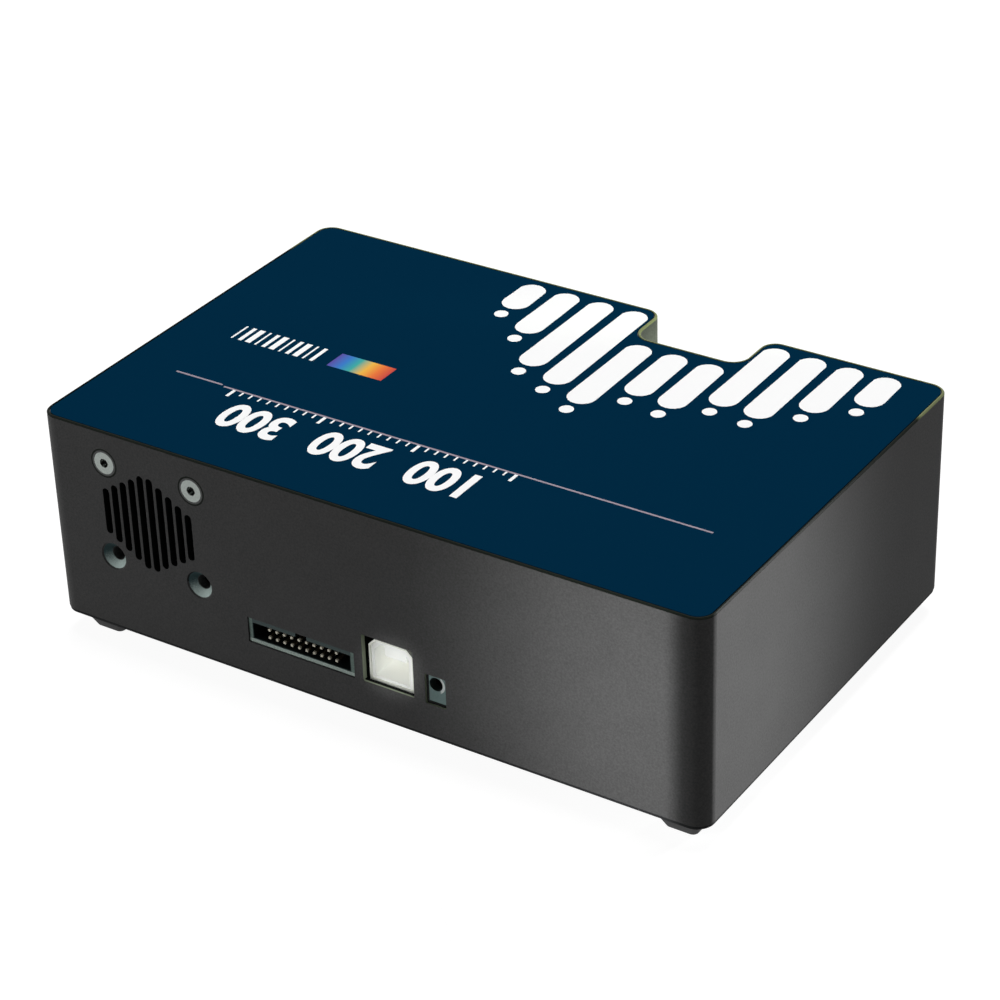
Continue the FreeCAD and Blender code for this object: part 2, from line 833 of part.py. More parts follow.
def make_base_plate():
    """The plate that closes the case from below and carries the board and the bench."""
    body = new_body("base_plate")
    lip = new_sketch(body, "XY_Plane", "foot_height")
    stepped_outline(lip, "flange_inset")
    pad(lip, "flange")
    spigot = new_sketch(body, "XY_Plane", FLANGE_TOP)
    tight = "cavity_corner - base_clearance"
    case_outline(spigot, "wall + base_clearance", tight, tight, "cavity_corner + base_clearance")
    pad(spigot, "base_thickness - flange")
    holes = new_sketch(body, "XY_Plane", "foot_height")
    for x, y in CASE_SCREW_PLACES + PILLAR_PLACES:
        circle(holes, x, y, "screw_radius + screw_clearance")
    sunk_holes(
        holes,
        "(screw_radius + screw_clearance)",
        "(sunk_head_radius + sunk_head_clearance)",
        "base_thickness + cut_over",
        True,
    )
    mounts = new_sketch(body, "XY_Plane", "foot_height")
    for x in ("-mount_hole_x", "mount_hole_x"):
        for y in ("-mount_hole_y", "mount_hole_y"):
            circle(mounts, x, y, "mount_hole_radius")
    pocket(mounts, "mount_hole_depth", reverse=True)
    board_threads = new_sketch(body, "XY_Plane", BASE_TOP)
    for x, y in STANDOFF_PLACES:
        circle(board_threads, x, y, "screw_radius + screw_clearance")
    pocket(board_threads, "board_thread_depth")
    screw = sunk_screw("case_screw", "sunk_head_radius", "screw_radius", "case_screw_length")
    turned = Rotation(X_AXIS, 180)
    screws = group("case_screws", screw, [spot(x, y, "foot_height", turned) for x, y in CASE_SCREW_PLACES])
    keep(body, screws)


def make_top_label():
    """The printed sheet let into the lid."""
    body = new_body("top_label")
    outline = new_sketch(body, "XY_Plane", f"{CASE_TOP} - label_sink - label_thickness")
    stepped_outline(outline, "label_inset")
    pad(outline, "label_thickness")
    keep(body)


def make_feet():
    """Four square rubber bumpers that taper towards the table."""
    for depth_name, depth_sign in (("front", "-"), ("back", "")):
        for side_name, side_sign in (("left", "-"), ("right", "")):
            x = f"{side_sign}(case_length / 2 - foot_inset)"
            y = f"{depth_sign}(case_width / 2 - foot_inset)"
            body = new_body(f"foot_{depth_name}_{side_name}", x, y, "0")
            sole = new_sketch(body, "XY_Plane")
            centred(sole, "0", "0", "foot_bottom", "foot_bottom", "foot_corner_bottom")
            root = new_sketch(body, "XY_Plane", "foot_height")
            centred(root, "0", "0", "foot_top", "foot_top", "foot_corner_top")
            loft = add_feature("AdditiveLoft", sole)
            loft.Sections = [root]
            loft.Ruled = True
            keep(body)


# Fan


def fan_body(label):
    """A body whose Z axis is the fan's axis, pointing into the case from its front wall."""
    return new_body(label, FAN_X, FRONT_WALL_INSIDE, FAN_Z, X_AXIS, "-90")


SEAT_FRONT = "(fan_depth - strut_thickness)"
FAN_BOARD_FRONT = "(fan_depth - strut_thickness - fan_board_thickness)"
ROTOR_INNER_TOP = "(rotor_front + rotor_wall)"
BEARING_FRONT = "(fan_depth - strut_thickness - bearing_length)"


def make_fan():
    """A small axial fan: square frame, struts, bearing, motor and seven-bladed rotor."""
    frame = fan_body("fan_frame")
    outline = new_sketch(frame, "XY_Plane")
    centred(outline, "0", "0", "fan_size", "fan_size", "fan_corner")
    circle(outline, "0", "0", "fan_bore_radius")
    pad(outline, "fan_depth")
    seat = new_sketch(frame, "XY_Plane", SEAT_FRONT)
    circle(seat, "0", "0", "motor_seat_radius")
    pad(seat, "strut_thickness")
    strut = new_sketch(frame, "XY_Plane", SEAT_FRONT)
    rectangle(
        strut,
        "motor_seat_radius / 2",
        "-strut_width / 2",
        "(fan_bore_radius + cut_over - motor_seat_radius / 2)",
        "strut_width",
    )
    polar(pad(strut, "strut_thickness"), 3)
    tube = new_sketch(frame, "XY_Plane", BEARING_FRONT)
    circle(tube, "0", "0", "bearing_tube_radius")
    circle(tube, "0", "0", "bearing_radius")
    pad(tube, "bearing_length")
    holes = new_sketch(frame, "XY_Plane")
    for x in ("-fan_pitch / 2", "fan_pitch / 2"):
        for y in ("-fan_pitch / 2", "fan_pitch / 2"):
            circle(holes, x, y, "fan_hole_radius")
    pocket(holes, "fan_depth", reverse=True)

    rotor = fan_body("fan_rotor")
    cup = new_sketch(rotor, "XZ_Plane")
    profile(cup, [
        ("0", "rotor_front"),
        ("rotor_radius", "rotor_front", "rotor_wall / 2"),
        ("rotor_radius", "rotor_front + rotor_height"),
        ("rotor_radius - rotor_wall", "rotor_front + rotor_height"),
        ("rotor_radius - rotor_wall", ROTOR_INNER_TOP),
        ("0", ROTOR_INNER_TOP),
    ])
    revolve(cup)
    middle = "rotor_front + rotor_height / 2"
    root = new_sketch(rotor, "XZ_Plane", "rotor_radius - rotor_wall / 2", "blade_root_angle")
    turned_section(root, middle, "blade_root_angle", "blade_root_chord")
    tip = new_sketch(rotor, "XZ_Plane", "blade_tip_radius", "blade_tip_angle")
    turned_section(tip, middle, "blade_tip_angle", "blade_tip_chord")
    blade = add_feature("AdditiveLoft", root)
    blade.Sections = [tip]
    blade.Ruled = True
    polar(blade, 7)

    shaft = fan_body("fan_shaft")
    shaft_end = new_sketch(shaft, "XY_Plane", ROTOR_INNER_TOP)
    circle(shaft_end, "0", "0", "shaft_radius")
    pad(shaft_end, "shaft_length")
    magnet = fan_body("fan_magnet")
    ring = new_sketch(magnet, "XY_Plane", ROTOR_INNER_TOP)
    circle(ring, "0", "0", "rotor_radius - rotor_wall - magnet_fit")
    circle(ring, "0", "0", "rotor_radius - rotor_wall - magnet_fit - magnet_thickness")
    pad(ring, "magnet_height")

    bearing = fan_body("fan_bearing")
    sleeve = new_sketch(bearing, "XY_Plane", BEARING_FRONT)
    circle(sleeve, "0", "0", "bearing_radius - bearing_fit")
    circle(sleeve, "0", "0", "shaft_radius + shaft_clearance")
    pad(sleeve, "bearing_length")
    stator = fan_body("fan_stator")
    core = new_sketch(stator, "XY_Plane", f"{FAN_BOARD_FRONT} - stator_height")
    circle(core, "0", "0", "stator_hub_radius")
    circle(core, "0", "0", "bearing_tube_radius + stator_fit")
    pad(core, "stator_height")
    tooth = new_sketch(stator, "XY_Plane", f"{FAN_BOARD_FRONT} - stator_height")
    profile(tooth, [
        ("stator_hub_radius - pole_depth / 2", "-tooth_width / 2"),
        ("stator_reach - pole_depth", "-tooth_width / 2"),
        ("stator_reach - pole_depth", "-pole_width / 2"),
        ("stator_reach", "-pole_width / 2"),
        ("stator_reach", "pole_width / 2"),
        ("stator_reach - pole_depth", "pole_width / 2"),
        ("stator_reach - pole_depth", "tooth_width / 2"),
        ("stator_hub_radius - pole_depth / 2", "tooth_width / 2"),
    ])
    polar(pad(tooth, "stator_height"), 4)
    circuit = fan_body("fan_circuit_board")
    disc = new_sketch(circuit, "XY_Plane", FAN_BOARD_FRONT)
    circle(disc, "0", "0", "fan_board_radius")
    circle(disc, "0", "0", "bearing_tube_radius + stator_fit")
    pad(disc, "fan_board_thickness")

    screw = sunk_screw("fan_screw", "fan_screw_head_radius", "screw_radius", "fan_screw_length")
    outward = Rotation(X_AXIS, 90)
    upper = f"{FAN_Z} + fan_pitch / 2"
    screws = group("fan_screws", screw, [
        spot(x, CASE_FRONT, upper, outward) for x in (f"{FAN_X} - fan_pitch / 2", f"{FAN_X} + fan_pitch / 2")
    ])
    keep(frame, rotor, shaft, magnet, bearing, stator, circuit, screws)


def turned_section(sketch, height, angle, chord):
    """A blade's section, centred at one height of the rotor and turned with its sketch."""
    across = f"({height}) * sin({angle} * 1 deg)"
    up = f"({height}) * cos({angle} * 1 deg)"
    centred(sketch, across, up, chord, "blade_thickness")


# Circuit board and sockets


def make_board():
    """The main board on its standoffs, with its larger components."""
    body = new_body("main_board")
    outline = new_sketch(body, "XY_Plane", BOARD_BOTTOM)
    notch_left = f"{END_SCREW_LEFT} - boss_radius - boss_notch_gap"
    notch_right = f"{END_SCREW_LEFT} + boss_radius + boss_notch_gap"
    notch_back = f"boss_radius + boss_notch_gap - {END_SCREW_Y}"
    profile(outline, [
        (BOARD_LEFT, BOARD_FRONT, "board_corner"),
        (notch_left, BOARD_FRONT),
        (notch_left, notch_back, "board_corner"),
        (notch_right, notch_back, "board_corner"),
        (notch_right, BOARD_FRONT),
        ("board_right", BOARD_FRONT, "board_corner"),
        ("board_right", BOARD_BACK, "board_corner"),
        (BOARD_LEFT, BOARD_BACK, "board_corner"),
    ])
    pad(outline, "board_thickness")
    holes = new_sketch(body, "XY_Plane", BOARD_TOP)
    for x, y in STANDOFF_PLACES:
        circle(holes, x, y, "screw_radius + screw_clearance")
    for x, y in PILLAR_PLACES[:2]:
        circle(holes, x, y, "pillar_radius + pillar_hole_gap")
    pocket(holes, "board_thickness")

    standoff = new_body("standoff")
    ring = new_sketch(standoff, "XY_Plane")
    circle(ring, "0", "0", "standoff_radius")
    circle(ring, "0", "0", "screw_radius + screw_clearance")
    pad(ring, "standoff_height")
    standoffs = group("board_standoffs", standoff, [spot(x, y, BASE_TOP) for x, y in STANDOFF_PLACES])
    screw = cap_screw(
        "board_screw", "pan_head_radius", "pan_head_height", "screw_radius", "board_screw_length"
    )
    screws = group("board_screws", screw, [spot(x, y, BOARD_TOP) for x, y in STANDOFF_PLACES])

    processor = box(
        "processor_chip",
        "processor_x",
        "processor_y",
        BOARD_TOP,
        "processor_side",
        "processor_side",
        "chip_height",
    )
    inductor = new_body("power_inductor", "inductor_x", "inductor_y", BOARD_TOP)
    coil = new_sketch(inductor, "XZ_Plane")
    profile(coil, [
        ("0", "0"),
        ("inductor_radius", "0"),
        ("inductor_radius", "inductor_height", "inductor_height / 4"),
        ("0", "inductor_height"),
    ])
    revolve(coil)
    keep(body, standoffs, screws, processor, inductor)


def make_header():
    """The shrouded two-row header with its key notch and bent pins."""
    front = f"({CASE_FRONT} + header_recess)"
    shroud = new_body("io_header_shroud", HEADER_X, f"{front}", BOARD_TOP)
    outline = new_sketch(shroud, "XZ_Plane")
    rectangle(outline, "-header_width / 2", "0", "header_width", "header_height")
    pad(outline, "header_depth", reverse=True)
    inside = new_sketch(shroud, "XZ_Plane")
    rectangle(
        inside,
        "header_wall - header_width / 2",
        "header_wall",
        "(header_width - header_wall * 2)",
        "(header_height - header_wall * 2)",
    )
    pocket(inside, "header_depth - header_back")
    key = new_sketch(shroud, "XZ_Plane")
    key_depth = "(header_wall + cut_over)"
    rectangle(key, "-header_key_width / 2", "header_height - header_wall", "header_key_width", key_depth)
    pocket(key, "header_depth - header_back")
    passages = new_sketch(shroud, "XZ_Plane", "header_back - header_depth")
    columns = [f"pin_pitch * ({i} - (pin_columns - 1) / 2)" for i in range(int(number("pin_columns")))]
    lower = "(header_height / 2 - pin_pitch / 2)"
    upper = "(header_height / 2 + pin_pitch / 2)"
    for x in columns:
        for z in (lower, upper):
            circle(passages, x, z, "pin_passage_radius")
    pocket(passages, "header_back")

    pins = []
    rows = {"lower": (lower, "pin_tail"), "upper": (upper, "pin_tail * 2")}
    copies = []
    for row_name, (lift, tail) in rows.items():
        pin = new_body(f"{row_name}_pin")
        path = new_sketch(pin, "YZ_Plane")
        tail_back = f"header_depth + {tail}"
        profile(path, [
            ("pin_recess", f"{lift} - pin_width / 2"),
            (f"{tail_back} - pin_width", f"{lift} - pin_width / 2"),
            (f"{tail_back} - pin_width", "0"),
            (tail_back, "0"),
            (tail_back, f"{lift} + pin_width / 2", "pin_width"),
            ("pin_recess", f"{lift} + pin_width / 2"),
        ])
        pad(path, "pin_width", symmetric=True)
        pins.append(pin)
    doc.recompute()
    for pin in pins:
        for x in columns:
            solid = pin.Shape.copy()
            solid.Placement = spot(f"{HEADER_X} + {x}", front, BOARD_TOP)
            copies.append(solid)
    contact = doc.addObject("Part::Feature", "io_header_pins")
    contact.Label = "io_header_pins"
    contact.Shape = Part.makeCompound(copies)
    keep(shroud, contact)


def bevelled_section(sketch, half, low, high, bevel):
    """A section about the socket's middle with two bevelled upper corners."""
    profile(sketch, [
        (f"-{half}", low),
        (half, low),
        (half, f"{high} - {bevel}"),
        (f"{half} - {bevel}", high),
        (f"{bevel} - {half}", high),
        (f"-{half}", f"{high} - {bevel}"),
    ])


def usb_section(sketch, inset):
    """The data socket's outline, drawn in by an inset."""
    half = f"(usb_width / 2 - {inset})"
    bevelled_section(sketch, half, inset, f"(usb_height - {inset})", f"(usb_bevel - {inset} * 0.4)")


def make_usb():
    """The square data socket: metal shell, plastic insert with mouth and tongue, and contacts."""
    front = f"{CASE_FRONT} + usb_recess"
    shell = new_body("usb_shell", USB_X, front, BOARD_TOP)
    outside = new_sketch(shell, "XZ_Plane")
    usb_section(outside, "0")
    pad(outside, "usb_depth", reverse=True)
    inside = new_sketch(shell, "XZ_Plane")
    usb_section(inside, "usb_wall")
    pocket(inside, "usb_depth - usb_wall")

    insert = new_body("usb_insert", USB_X, front, BOARD_TOP)
    block = new_sketch(insert, "XZ_Plane", "-usb_insert_setback")
    usb_section(block, "(usb_wall + usb_insert_gap)")
    pad(block, "usb_depth - usb_wall - usb_insert_setback", reverse=True)
    mouth = new_sketch(insert, "XZ_Plane", "-usb_insert_setback")
    mouth_floor = "((usb_height - usb_mouth_height) / 2)"
    mouth_roof = "((usb_height + usb_mouth_height) / 2)"
    bevelled_section(mouth, "(usb_mouth_width / 2)", mouth_floor, mouth_roof, "usb_mouth_bevel")
    pocket(mouth, "usb_mouth_depth")
    tongue = new_sketch(insert, "XZ_Plane", "-usb_insert_setback - usb_mouth_depth")
    tongue_top = f"({mouth_roof} - tongue_headroom)"
    rectangle(tongue, "-tongue_width / 2", f"{tongue_top} - tongue_height", "tongue_width", "tongue_height")
    pad(tongue, "tongue_length")

    contact = new_body("usb_contact")
    strip = new_sketch(contact, "XY_Plane")
    rectangle(strip, "-usb_contact_width / 2", "0", "usb_contact_width", "usb_contact_length")
    pad(strip, "usb_contact_thickness")
    start = f"{front} + usb_insert_setback + usb_mouth_depth - usb_contact_length"
    above = f"{BOARD_TOP} + {tongue_top}"
    below = f"{BOARD_TOP} + {tongue_top} - tongue_height - usb_contact_thickness"
    places = []
    for side in ("-", "+"):
        x = f"{USB_X} {side} tongue_width / 4"
        places += [spot(x, start, above), spot(x, start, below)]
    contacts = group("usb_contacts", contact, places)
    keep(shell, insert, contacts)


def make_power_socket():
    """The small round power socket in its square body."""
    front = f"{CASE_FRONT} + dc_recess"
    body = new_body("dc_jack_body", DC_X, front, BOARD_TOP)
    outline = new_sketch(body, "XZ_Plane")
    rectangle(outline, "-dc_width / 2", "0", "dc_width", "dc_height", "dc_edge")
    pad(outline, "dc_depth", reverse=True)
    bore = new_sketch(body, "XZ_Plane")
    circle(bore, "0", "dc_hole_lift", "dc_hole_radius")
    pocket(bore, "dc_hole_depth")
    pin = new_body("dc_jack_pin", DC_X, front, BOARD_TOP)
    tip = new_sketch(pin, "XZ_Plane", "-dc_hole_depth")
    circle(tip, "0", "dc_hole_lift", "dc_pin_radius")
    pad(tip, "dc_pin_length")
    sleeve = new_body("dc_jack_sleeve", DC_X, front, BOARD_TOP)
    ring = new_sketch(sleeve, "XZ_Plane", "-dc_hole_depth")
    circle(ring, "0", "dc_hole_lift", "dc_hole_radius - magnet_fit")
    circle(ring, "0", "dc_hole_lift", "dc_hole_radius - magnet_fit - dc_sleeve_wall")
    pad(ring, "dc_pin_length + dc_sleeve_wall")
    keep(body, pin, sleeve)


# Optical bench

COLLIMATOR_TURN = f"((90 deg + atan2({GRATING_Y} - {COLLIMATOR_Y}; {GRATING_X} - bay_centre)) / 2)"
GRATING_TURN = (
    f"((atan2({COLLIMATOR_Y} - {GRATING_Y}; bay_centre - {GRATING_X})"
    f" + atan2({FOCUSING_Y} - {GRATING_Y}; {FOCUSING_X} - {GRATING_X})) / 2 + grating_turn * 1 deg)"
)
FOCUSING_TURN = (
    f"((atan2({GRATING_Y} - {FOCUSING_Y}; {GRATING_X} - {FOCUSING_X})"
    f" + atan2(detector_y - {FOCUSING_Y}; {BENCH_LEFT} - {FOCUSING_X})) / 2)"
)
OPTICS = {
    "collimator": ("bay_centre", COLLIMATOR_Y, COLLIMATOR_TURN),
    "grating": (GRATING_X, GRATING_Y, GRATING_TURN),
    "focusing": (FOCUSING_X, FOCUSING_Y, FOCUSING_TURN),
}


def toe_places():
    """Where the screws of the three optic mounts go into the bench floor."""
    places = []
    for x, y, turn in OPTICS.values():
        for side in ("toe_hole_y", "-toe_hole_y"):
            across = f"{x} + toe_hole_x * cos({turn}) - ({side}) * sin({turn})"
            along = f"{y} + toe_hole_x * sin({turn}) + ({side}) * cos({turn})"
            places.append((across, along))
    return places


def make_bench():
    """The sealed bench on its four pillars: milled tray, cover, baffle and screws."""
    body = new_body("bench_body")
    outline = new_sketch(body, "XY_Plane", BENCH_BOTTOM)
    rectangle(outline, BENCH_LEFT, BENCH_FRONT, BENCH_LENGTH, BENCH_WIDTH, "bench_corner")
    pad(outline, "bench_rim")
    tray = new_sketch(body, "XY_Plane", BENCH_TOP)
    rectangle(
        tray,
        f"{BENCH_LEFT} + bench_wall",
        f"{BENCH_FRONT} + bench_wall",
        f"({BENCH_LENGTH} - bench_wall * 2)",
        f"({BENCH_WIDTH} - bench_wall * 2)",
        "bench_corner",
    )
    pocket(tray, "bench_rim - bench_floor")
    floor_holes = new_sketch(body, "XY_Plane", BENCH_FLOOR)
    for x, y in PILLAR_PLACES:
        circle(floor_holes, x, y, "screw_radius + screw_clearance")
    pocket(floor_holes, "bench_floor + cut_over")
    toe_holes = new_sketch(body, "XY_Plane", BENCH_FLOOR)
    for x, y in toe_places():
        circle(toe_holes, x, y, "optic_screw_radius + screw_clearance")
    pocket(toe_holes, "optic_screw_length - toe_height + screw_clearance")
    fibre = new_sketch(body, "XZ_Plane", f"-{BENCH_BACK}")
    circle(fibre, "bay_centre", OPTIC_Z, "thread_radius + thread_clearance")
    pocket(fibre, "bench_wall + cut_over", reverse=True)
    window = new_sketch(body, "YZ_Plane", BENCH_LEFT)
    centred(window, "detector_y", OPTIC_Z, "window_length", "window_height")
    pocket(window, "bench_wall + cut_over", reverse=True)
    sink_holes = new_sketch(body, "YZ_Plane", BENCH_LEFT)
    for y in ("detector_y - sink_screw_y", "detector_y + sink_screw_y"):
        circle(sink_holes, y, OPTIC_Z, "screw_radius + screw_clearance")
    pocket(sink_holes, "sink_screw_grip + screw_clearance", reverse=True)
    cover_holes = new_sketch(body, "XY_Plane", BENCH_TOP)
    for x, y in cover_places():
        circle(cover_holes, x, y, "cover_screw_radius + screw_clearance")
    pocket(cover_holes, "cover_screw_length")

    cover = new_body("bench_cover")
    lid = new_sketch(cover, "XY_Plane", BENCH_TOP)
    rectangle(lid, BENCH_LEFT, BENCH_FRONT, BENCH_LENGTH, BENCH_WIDTH, "bench_corner")
    pad(lid, "cover_thickness")
    lid_holes = new_sketch(cover, "XY_Plane", f"{BENCH_TOP} + cover_thickness")
    for x, y in cover_places():
        circle(lid_holes, x, y, "cover_screw_radius + screw_clearance")
    sunk_holes(
        lid_holes,
        "(cover_screw_radius + screw_clearance)",
        "(cover_head_radius + sunk_head_clearance)",
        "cover_thickness + cut_over",
        False,
    )
    cover_screw = sunk_screw("cover_screw", "cover_head_radius", "cover_screw_radius", "cover_screw_length")
    lid_top = f"{BENCH_TOP} + cover_thickness"
    cover_screws = group("cover_screws", cover_screw, [spot(x, y, lid_top) for x, y in cover_places()])

    pillar = new_body("pillar")
    ring = new_sketch(pillar, "XY_Plane")
    circle(ring, "0", "0", "pillar_radius")
    circle(ring, "0", "0", "screw_radius + screw_clearance")
    pad(ring, "pillar_height")
    pillars = group("bench_pillars", pillar, [spot(x, y, BASE_TOP) for x, y in PILLAR_PLACES])
    pillar_screw = sunk_screw("pillar_screw", "sunk_head_radius", "screw_radius", "pillar_screw_length")
    turned = Rotation(X_AXIS, 180)
    pillar_screws = group(
        "pillar_screws", pillar_screw, [spot(x, y, "foot_height", turned) for x, y in PILLAR_PLACES]
    )
    bench_screw = cap_screw(
        "bench_screw", "pan_head_radius", "pan_head_height", "screw_radius", "bench_screw_length"
    )
    bench_screws = group("bench_screws", bench_screw, [spot(x, y, BENCH_FLOOR) for x, y in PILLAR_PLACES])
    baffle = box(
        "light_baffle",
        f"{BENCH_LEFT} + baffle_inset",
        f"{BENCH_BACK} - bench_wall - baffle_length",
        BENCH_FLOOR,
        "baffle_thickness",
        "baffle_length",
        "baffle_height",
    )
    keep(body, cover, cover_screws, pillars, pillar_screws, bench_screws, baffle)


def cover_places():
    """Where the cover's six screws go into the middle of the bench walls."""
    middle = f"({BENCH_LEFT} + {BENCH_RIGHT}) / 2"
    columns = (f"{BENCH_LEFT} + bench_wall / 2 + cover_screw_radius / 2", middle,
               f"{BENCH_RIGHT} - bench_wall / 2 - cover_screw_radius / 2")
    rows = (f"{BENCH_FRONT} + bench_wall / 2 + cover_screw_radius / 4",
            f"{BENCH_BACK} - bench_wall / 2 - cover_screw_radius / 4")
    return [(x, y) for x in columns for y in rows]


def make_mirror(label, optic, curvature):
    """A round concave mirror facing its own X axis, hollow side at the origin."""
    x, y, turn = OPTICS[optic]
    body = new_body(label, x, y, OPTIC_Z, Z_AXIS, turn)
    sketch = new_sketch(body, "XZ_Plane")
    deep, far = number(curvature), number("mirror_radius")
    sag = deep - math.sqrt(deep ** 2 - far ** 2)
    back = -number("mirror_thickness")
    corners = [Vector(0, 0, 0), Vector(back, 0, 0), Vector(back, far, 0), Vector(sag, far, 0)]
    lines = [sketch.addGeometry(Part.LineSegment(corners[i], corners[i + 1])) for i in range(3)]
    start = math.atan2(far, sag - deep)
    face = sketch.addGeometry(Part.ArcOfCircle(Part.Circle(Vector(deep, 0, 0), Z_AXIS, deep), start, math.pi))
    edges = lines + [face]
    for i, edge in enumerate(edges):
        sketch.addConstraint(Sketcher.Constraint("Coincident", edges[i - 1], 2, edge, 1))
    pin_point(sketch, lines[0], 1, "0", "0")
    pin_point(sketch, lines[1], 1, "-mirror_thickness", "0")
    pin_point(sketch, lines[2], 1, "-mirror_thickness", "mirror_radius")
    sketch.addConstraint(Sketcher.Constraint("Horizontal", lines[2]))
    pin_point(sketch, face, 3, curvature, "0")
    revolve(sketch, "H_Axis")
    keep(body)


def make_mount(label, optic, round_toe):
    """An upright block with a seat for its optic and a toe screwed to the bench floor."""
    x, y, turn = OPTICS[optic]
    body = new_body(label, x, y, BENCH_FLOOR, Z_AXIS, turn)
    side = new_sketch(body, "XZ_Plane")
    profile(side, [
        ("-mount_back", "0"),
        ("toe_length", "0"),
        ("toe_length", "toe_height"),
        ("-mount_lip", "toe_height"),
        ("-mount_lip", "mount_height"),
        ("-mount_back", "mount_height"),
    ])
    pad(side, "mount_width", symmetric=True)
    if round_toe:
        disc = new_sketch(body, "XY_Plane")
        circle(disc, "0", "0", "grating_base_radius")
        pad(disc, "toe_height")
    seat = new_sketch(body, "YZ_Plane", "-mount_lip")
    if round_toe:
        side_length = "(grating_side + optic_clearance * 2)"
        centred(seat, "0", "optic_height", side_length, side_length)
        pocket(seat, "grating_thickness - mount_lip")
    else:
        circle(seat, "0", "optic_height", "mirror_radius + optic_clearance")
        pocket(seat, "mirror_thickness - mount_lip")
    holes = new_sketch(body, "XY_Plane", "toe_height")
    for side_y in ("toe_hole_y", "-toe_hole_y"):
        circle(holes, "toe_hole_x", side_y, "optic_screw_radius + screw_clearance")
    pocket(holes, "toe_height")
    keep(body)


def make_optics():
    """Collimating mirror, grating and focusing mirror, each in its own mount."""
    make_mirror("collimating_mirror", "collimator", "collimator_curvature")
    make_mount("collimator_mount", "collimator", False)
    x, y, turn = OPTICS["grating"]
    grating = new_body("diffraction_grating", x, y, OPTIC_Z, Z_AXIS, turn)
    face = new_sketch(grating, "YZ_Plane", "-grating_thickness")
    centred(face, "0", "0", "grating_side", "grating_side")
    pad(face, "grating_thickness")
    keep(grating)
    make_mount("grating_mount", "grating", True)
    make_mirror("focusing_mirror", "focusing", "focusing_curvature")
    make_mount("focusing_mount", "focusing", False)
    screw = cap_screw(
        "optic_screw", "optic_head_radius", "optic_head_height", "optic_screw_radius", "optic_screw_length"
    )
    top = f"{BENCH_FLOOR} + toe_height"
    keep(group("optic_screws", screw, [spot(x, y, top) for x, y in toe_places()]))


# Fibre connector and slit


def fibre_body(label, y):
    """A body whose Z axis is the fibre's axis, pointing out of the bay."""
    return new_body(label, "bay_centre", y, OPTIC_Z, X_AXIS, "-90")


CONNECTOR_REAR = "(washer_thickness + wall + bench_gap + bench_wall + nut_thickness + thread_end)"


def make_connector():
    """The threaded fibre connector, its washer and nut, and the slit capped on its rear end."""
    seat = f"{BAY_FLOOR} + washer_thickness"
    body = fibre_body("fibre_connector", seat)
    section = new_sketch(body, "XZ_Plane")
    nose = "(hex_thickness + nose_length)"
    profile(section, [
        ("ferrule_radius", nose),
        ("thread_radius - nose_chamfer", nose),
        ("thread_radius", f"{nose} - nose_chamfer"),
        ("thread_radius", "hex_thickness + relief_length"),
        ("relief_radius", "hex_thickness + relief_length"),
        ("relief_radius", "0"),
        ("thread_radius", "0"),
        ("thread_radius", f"-{CONNECTOR_REAR}"),
        ("light_hole_radius", f"-{CONNECTOR_REAR}"),
        ("light_hole_radius", f"{nose} - ferrule_depth"),
        ("ferrule_radius", f"{nose} - ferrule_depth"),
    ])
    revolve(section)
    flats = new_sketch(body, "XY_Plane")
    hexagon(flats, "hex_width")
    circle(flats, "0", "0", "(ferrule_radius + relief_radius) / 2")
    pad(flats, "hex_thickness")

    washer = fibre_body("connector_washer", BAY_FLOOR)
    ring = new_sketch(washer, "XY_Plane")
    circle(ring, "0", "0", "washer_radius")
    circle(ring, "0", "0", "thread_radius + thread_clearance")
    pad(ring, "washer_thickness")
    nut = fibre_body("connector_nut", f"{BENCH_BACK} - bench_wall - nut_thickness")
    nut_sketch = new_sketch(nut, "XY_Plane")
    hexagon(nut_sketch, "hex_width")
    circle(nut_sketch, "0", "0", "thread_radius + thread_clearance")
    pad(nut_sketch, "nut_thickness")

    slit = fibre_body("slit_disc", f"{seat} - {CONNECTOR_REAR} - slit_thickness")
    disc = new_sketch(slit, "XY_Plane")
    circle(disc, "0", "0", "slit_radius")
    centred(disc, "0", "0", "slit_width", "slit_length")
    pad(disc, "slit_thickness")
    holder = fibre_body("slit_holder", f"{seat} - {CONNECTOR_REAR} - slit_thickness")
    cap = new_sketch(holder, "XZ_Plane")
    profile(cap, [
        ("light_hole_radius + holder_wall / 2", "-holder_wall"),
        ("holder_radius", "-holder_wall", "holder_wall / 3"),
        ("holder_radius", "slit_thickness + holder_grip"),
        ("thread_radius + thread_clearance", "slit_thickness + holder_grip"),
        ("thread_radius + thread_clearance", "0"),
        ("light_hole_radius + holder_wall / 2", "0"),
    ])
    revolve(cap)
    keep(body, washer, nut, slit, holder)


# Detector and cooler


def upright_box(label, x, thickness, length, height):
    """A block centred on the detector's line of sight."""
    return box(label, x, f"detector_y - {length} / 2", f"{OPTIC_Z} - {height} / 2", thickness, length, height)


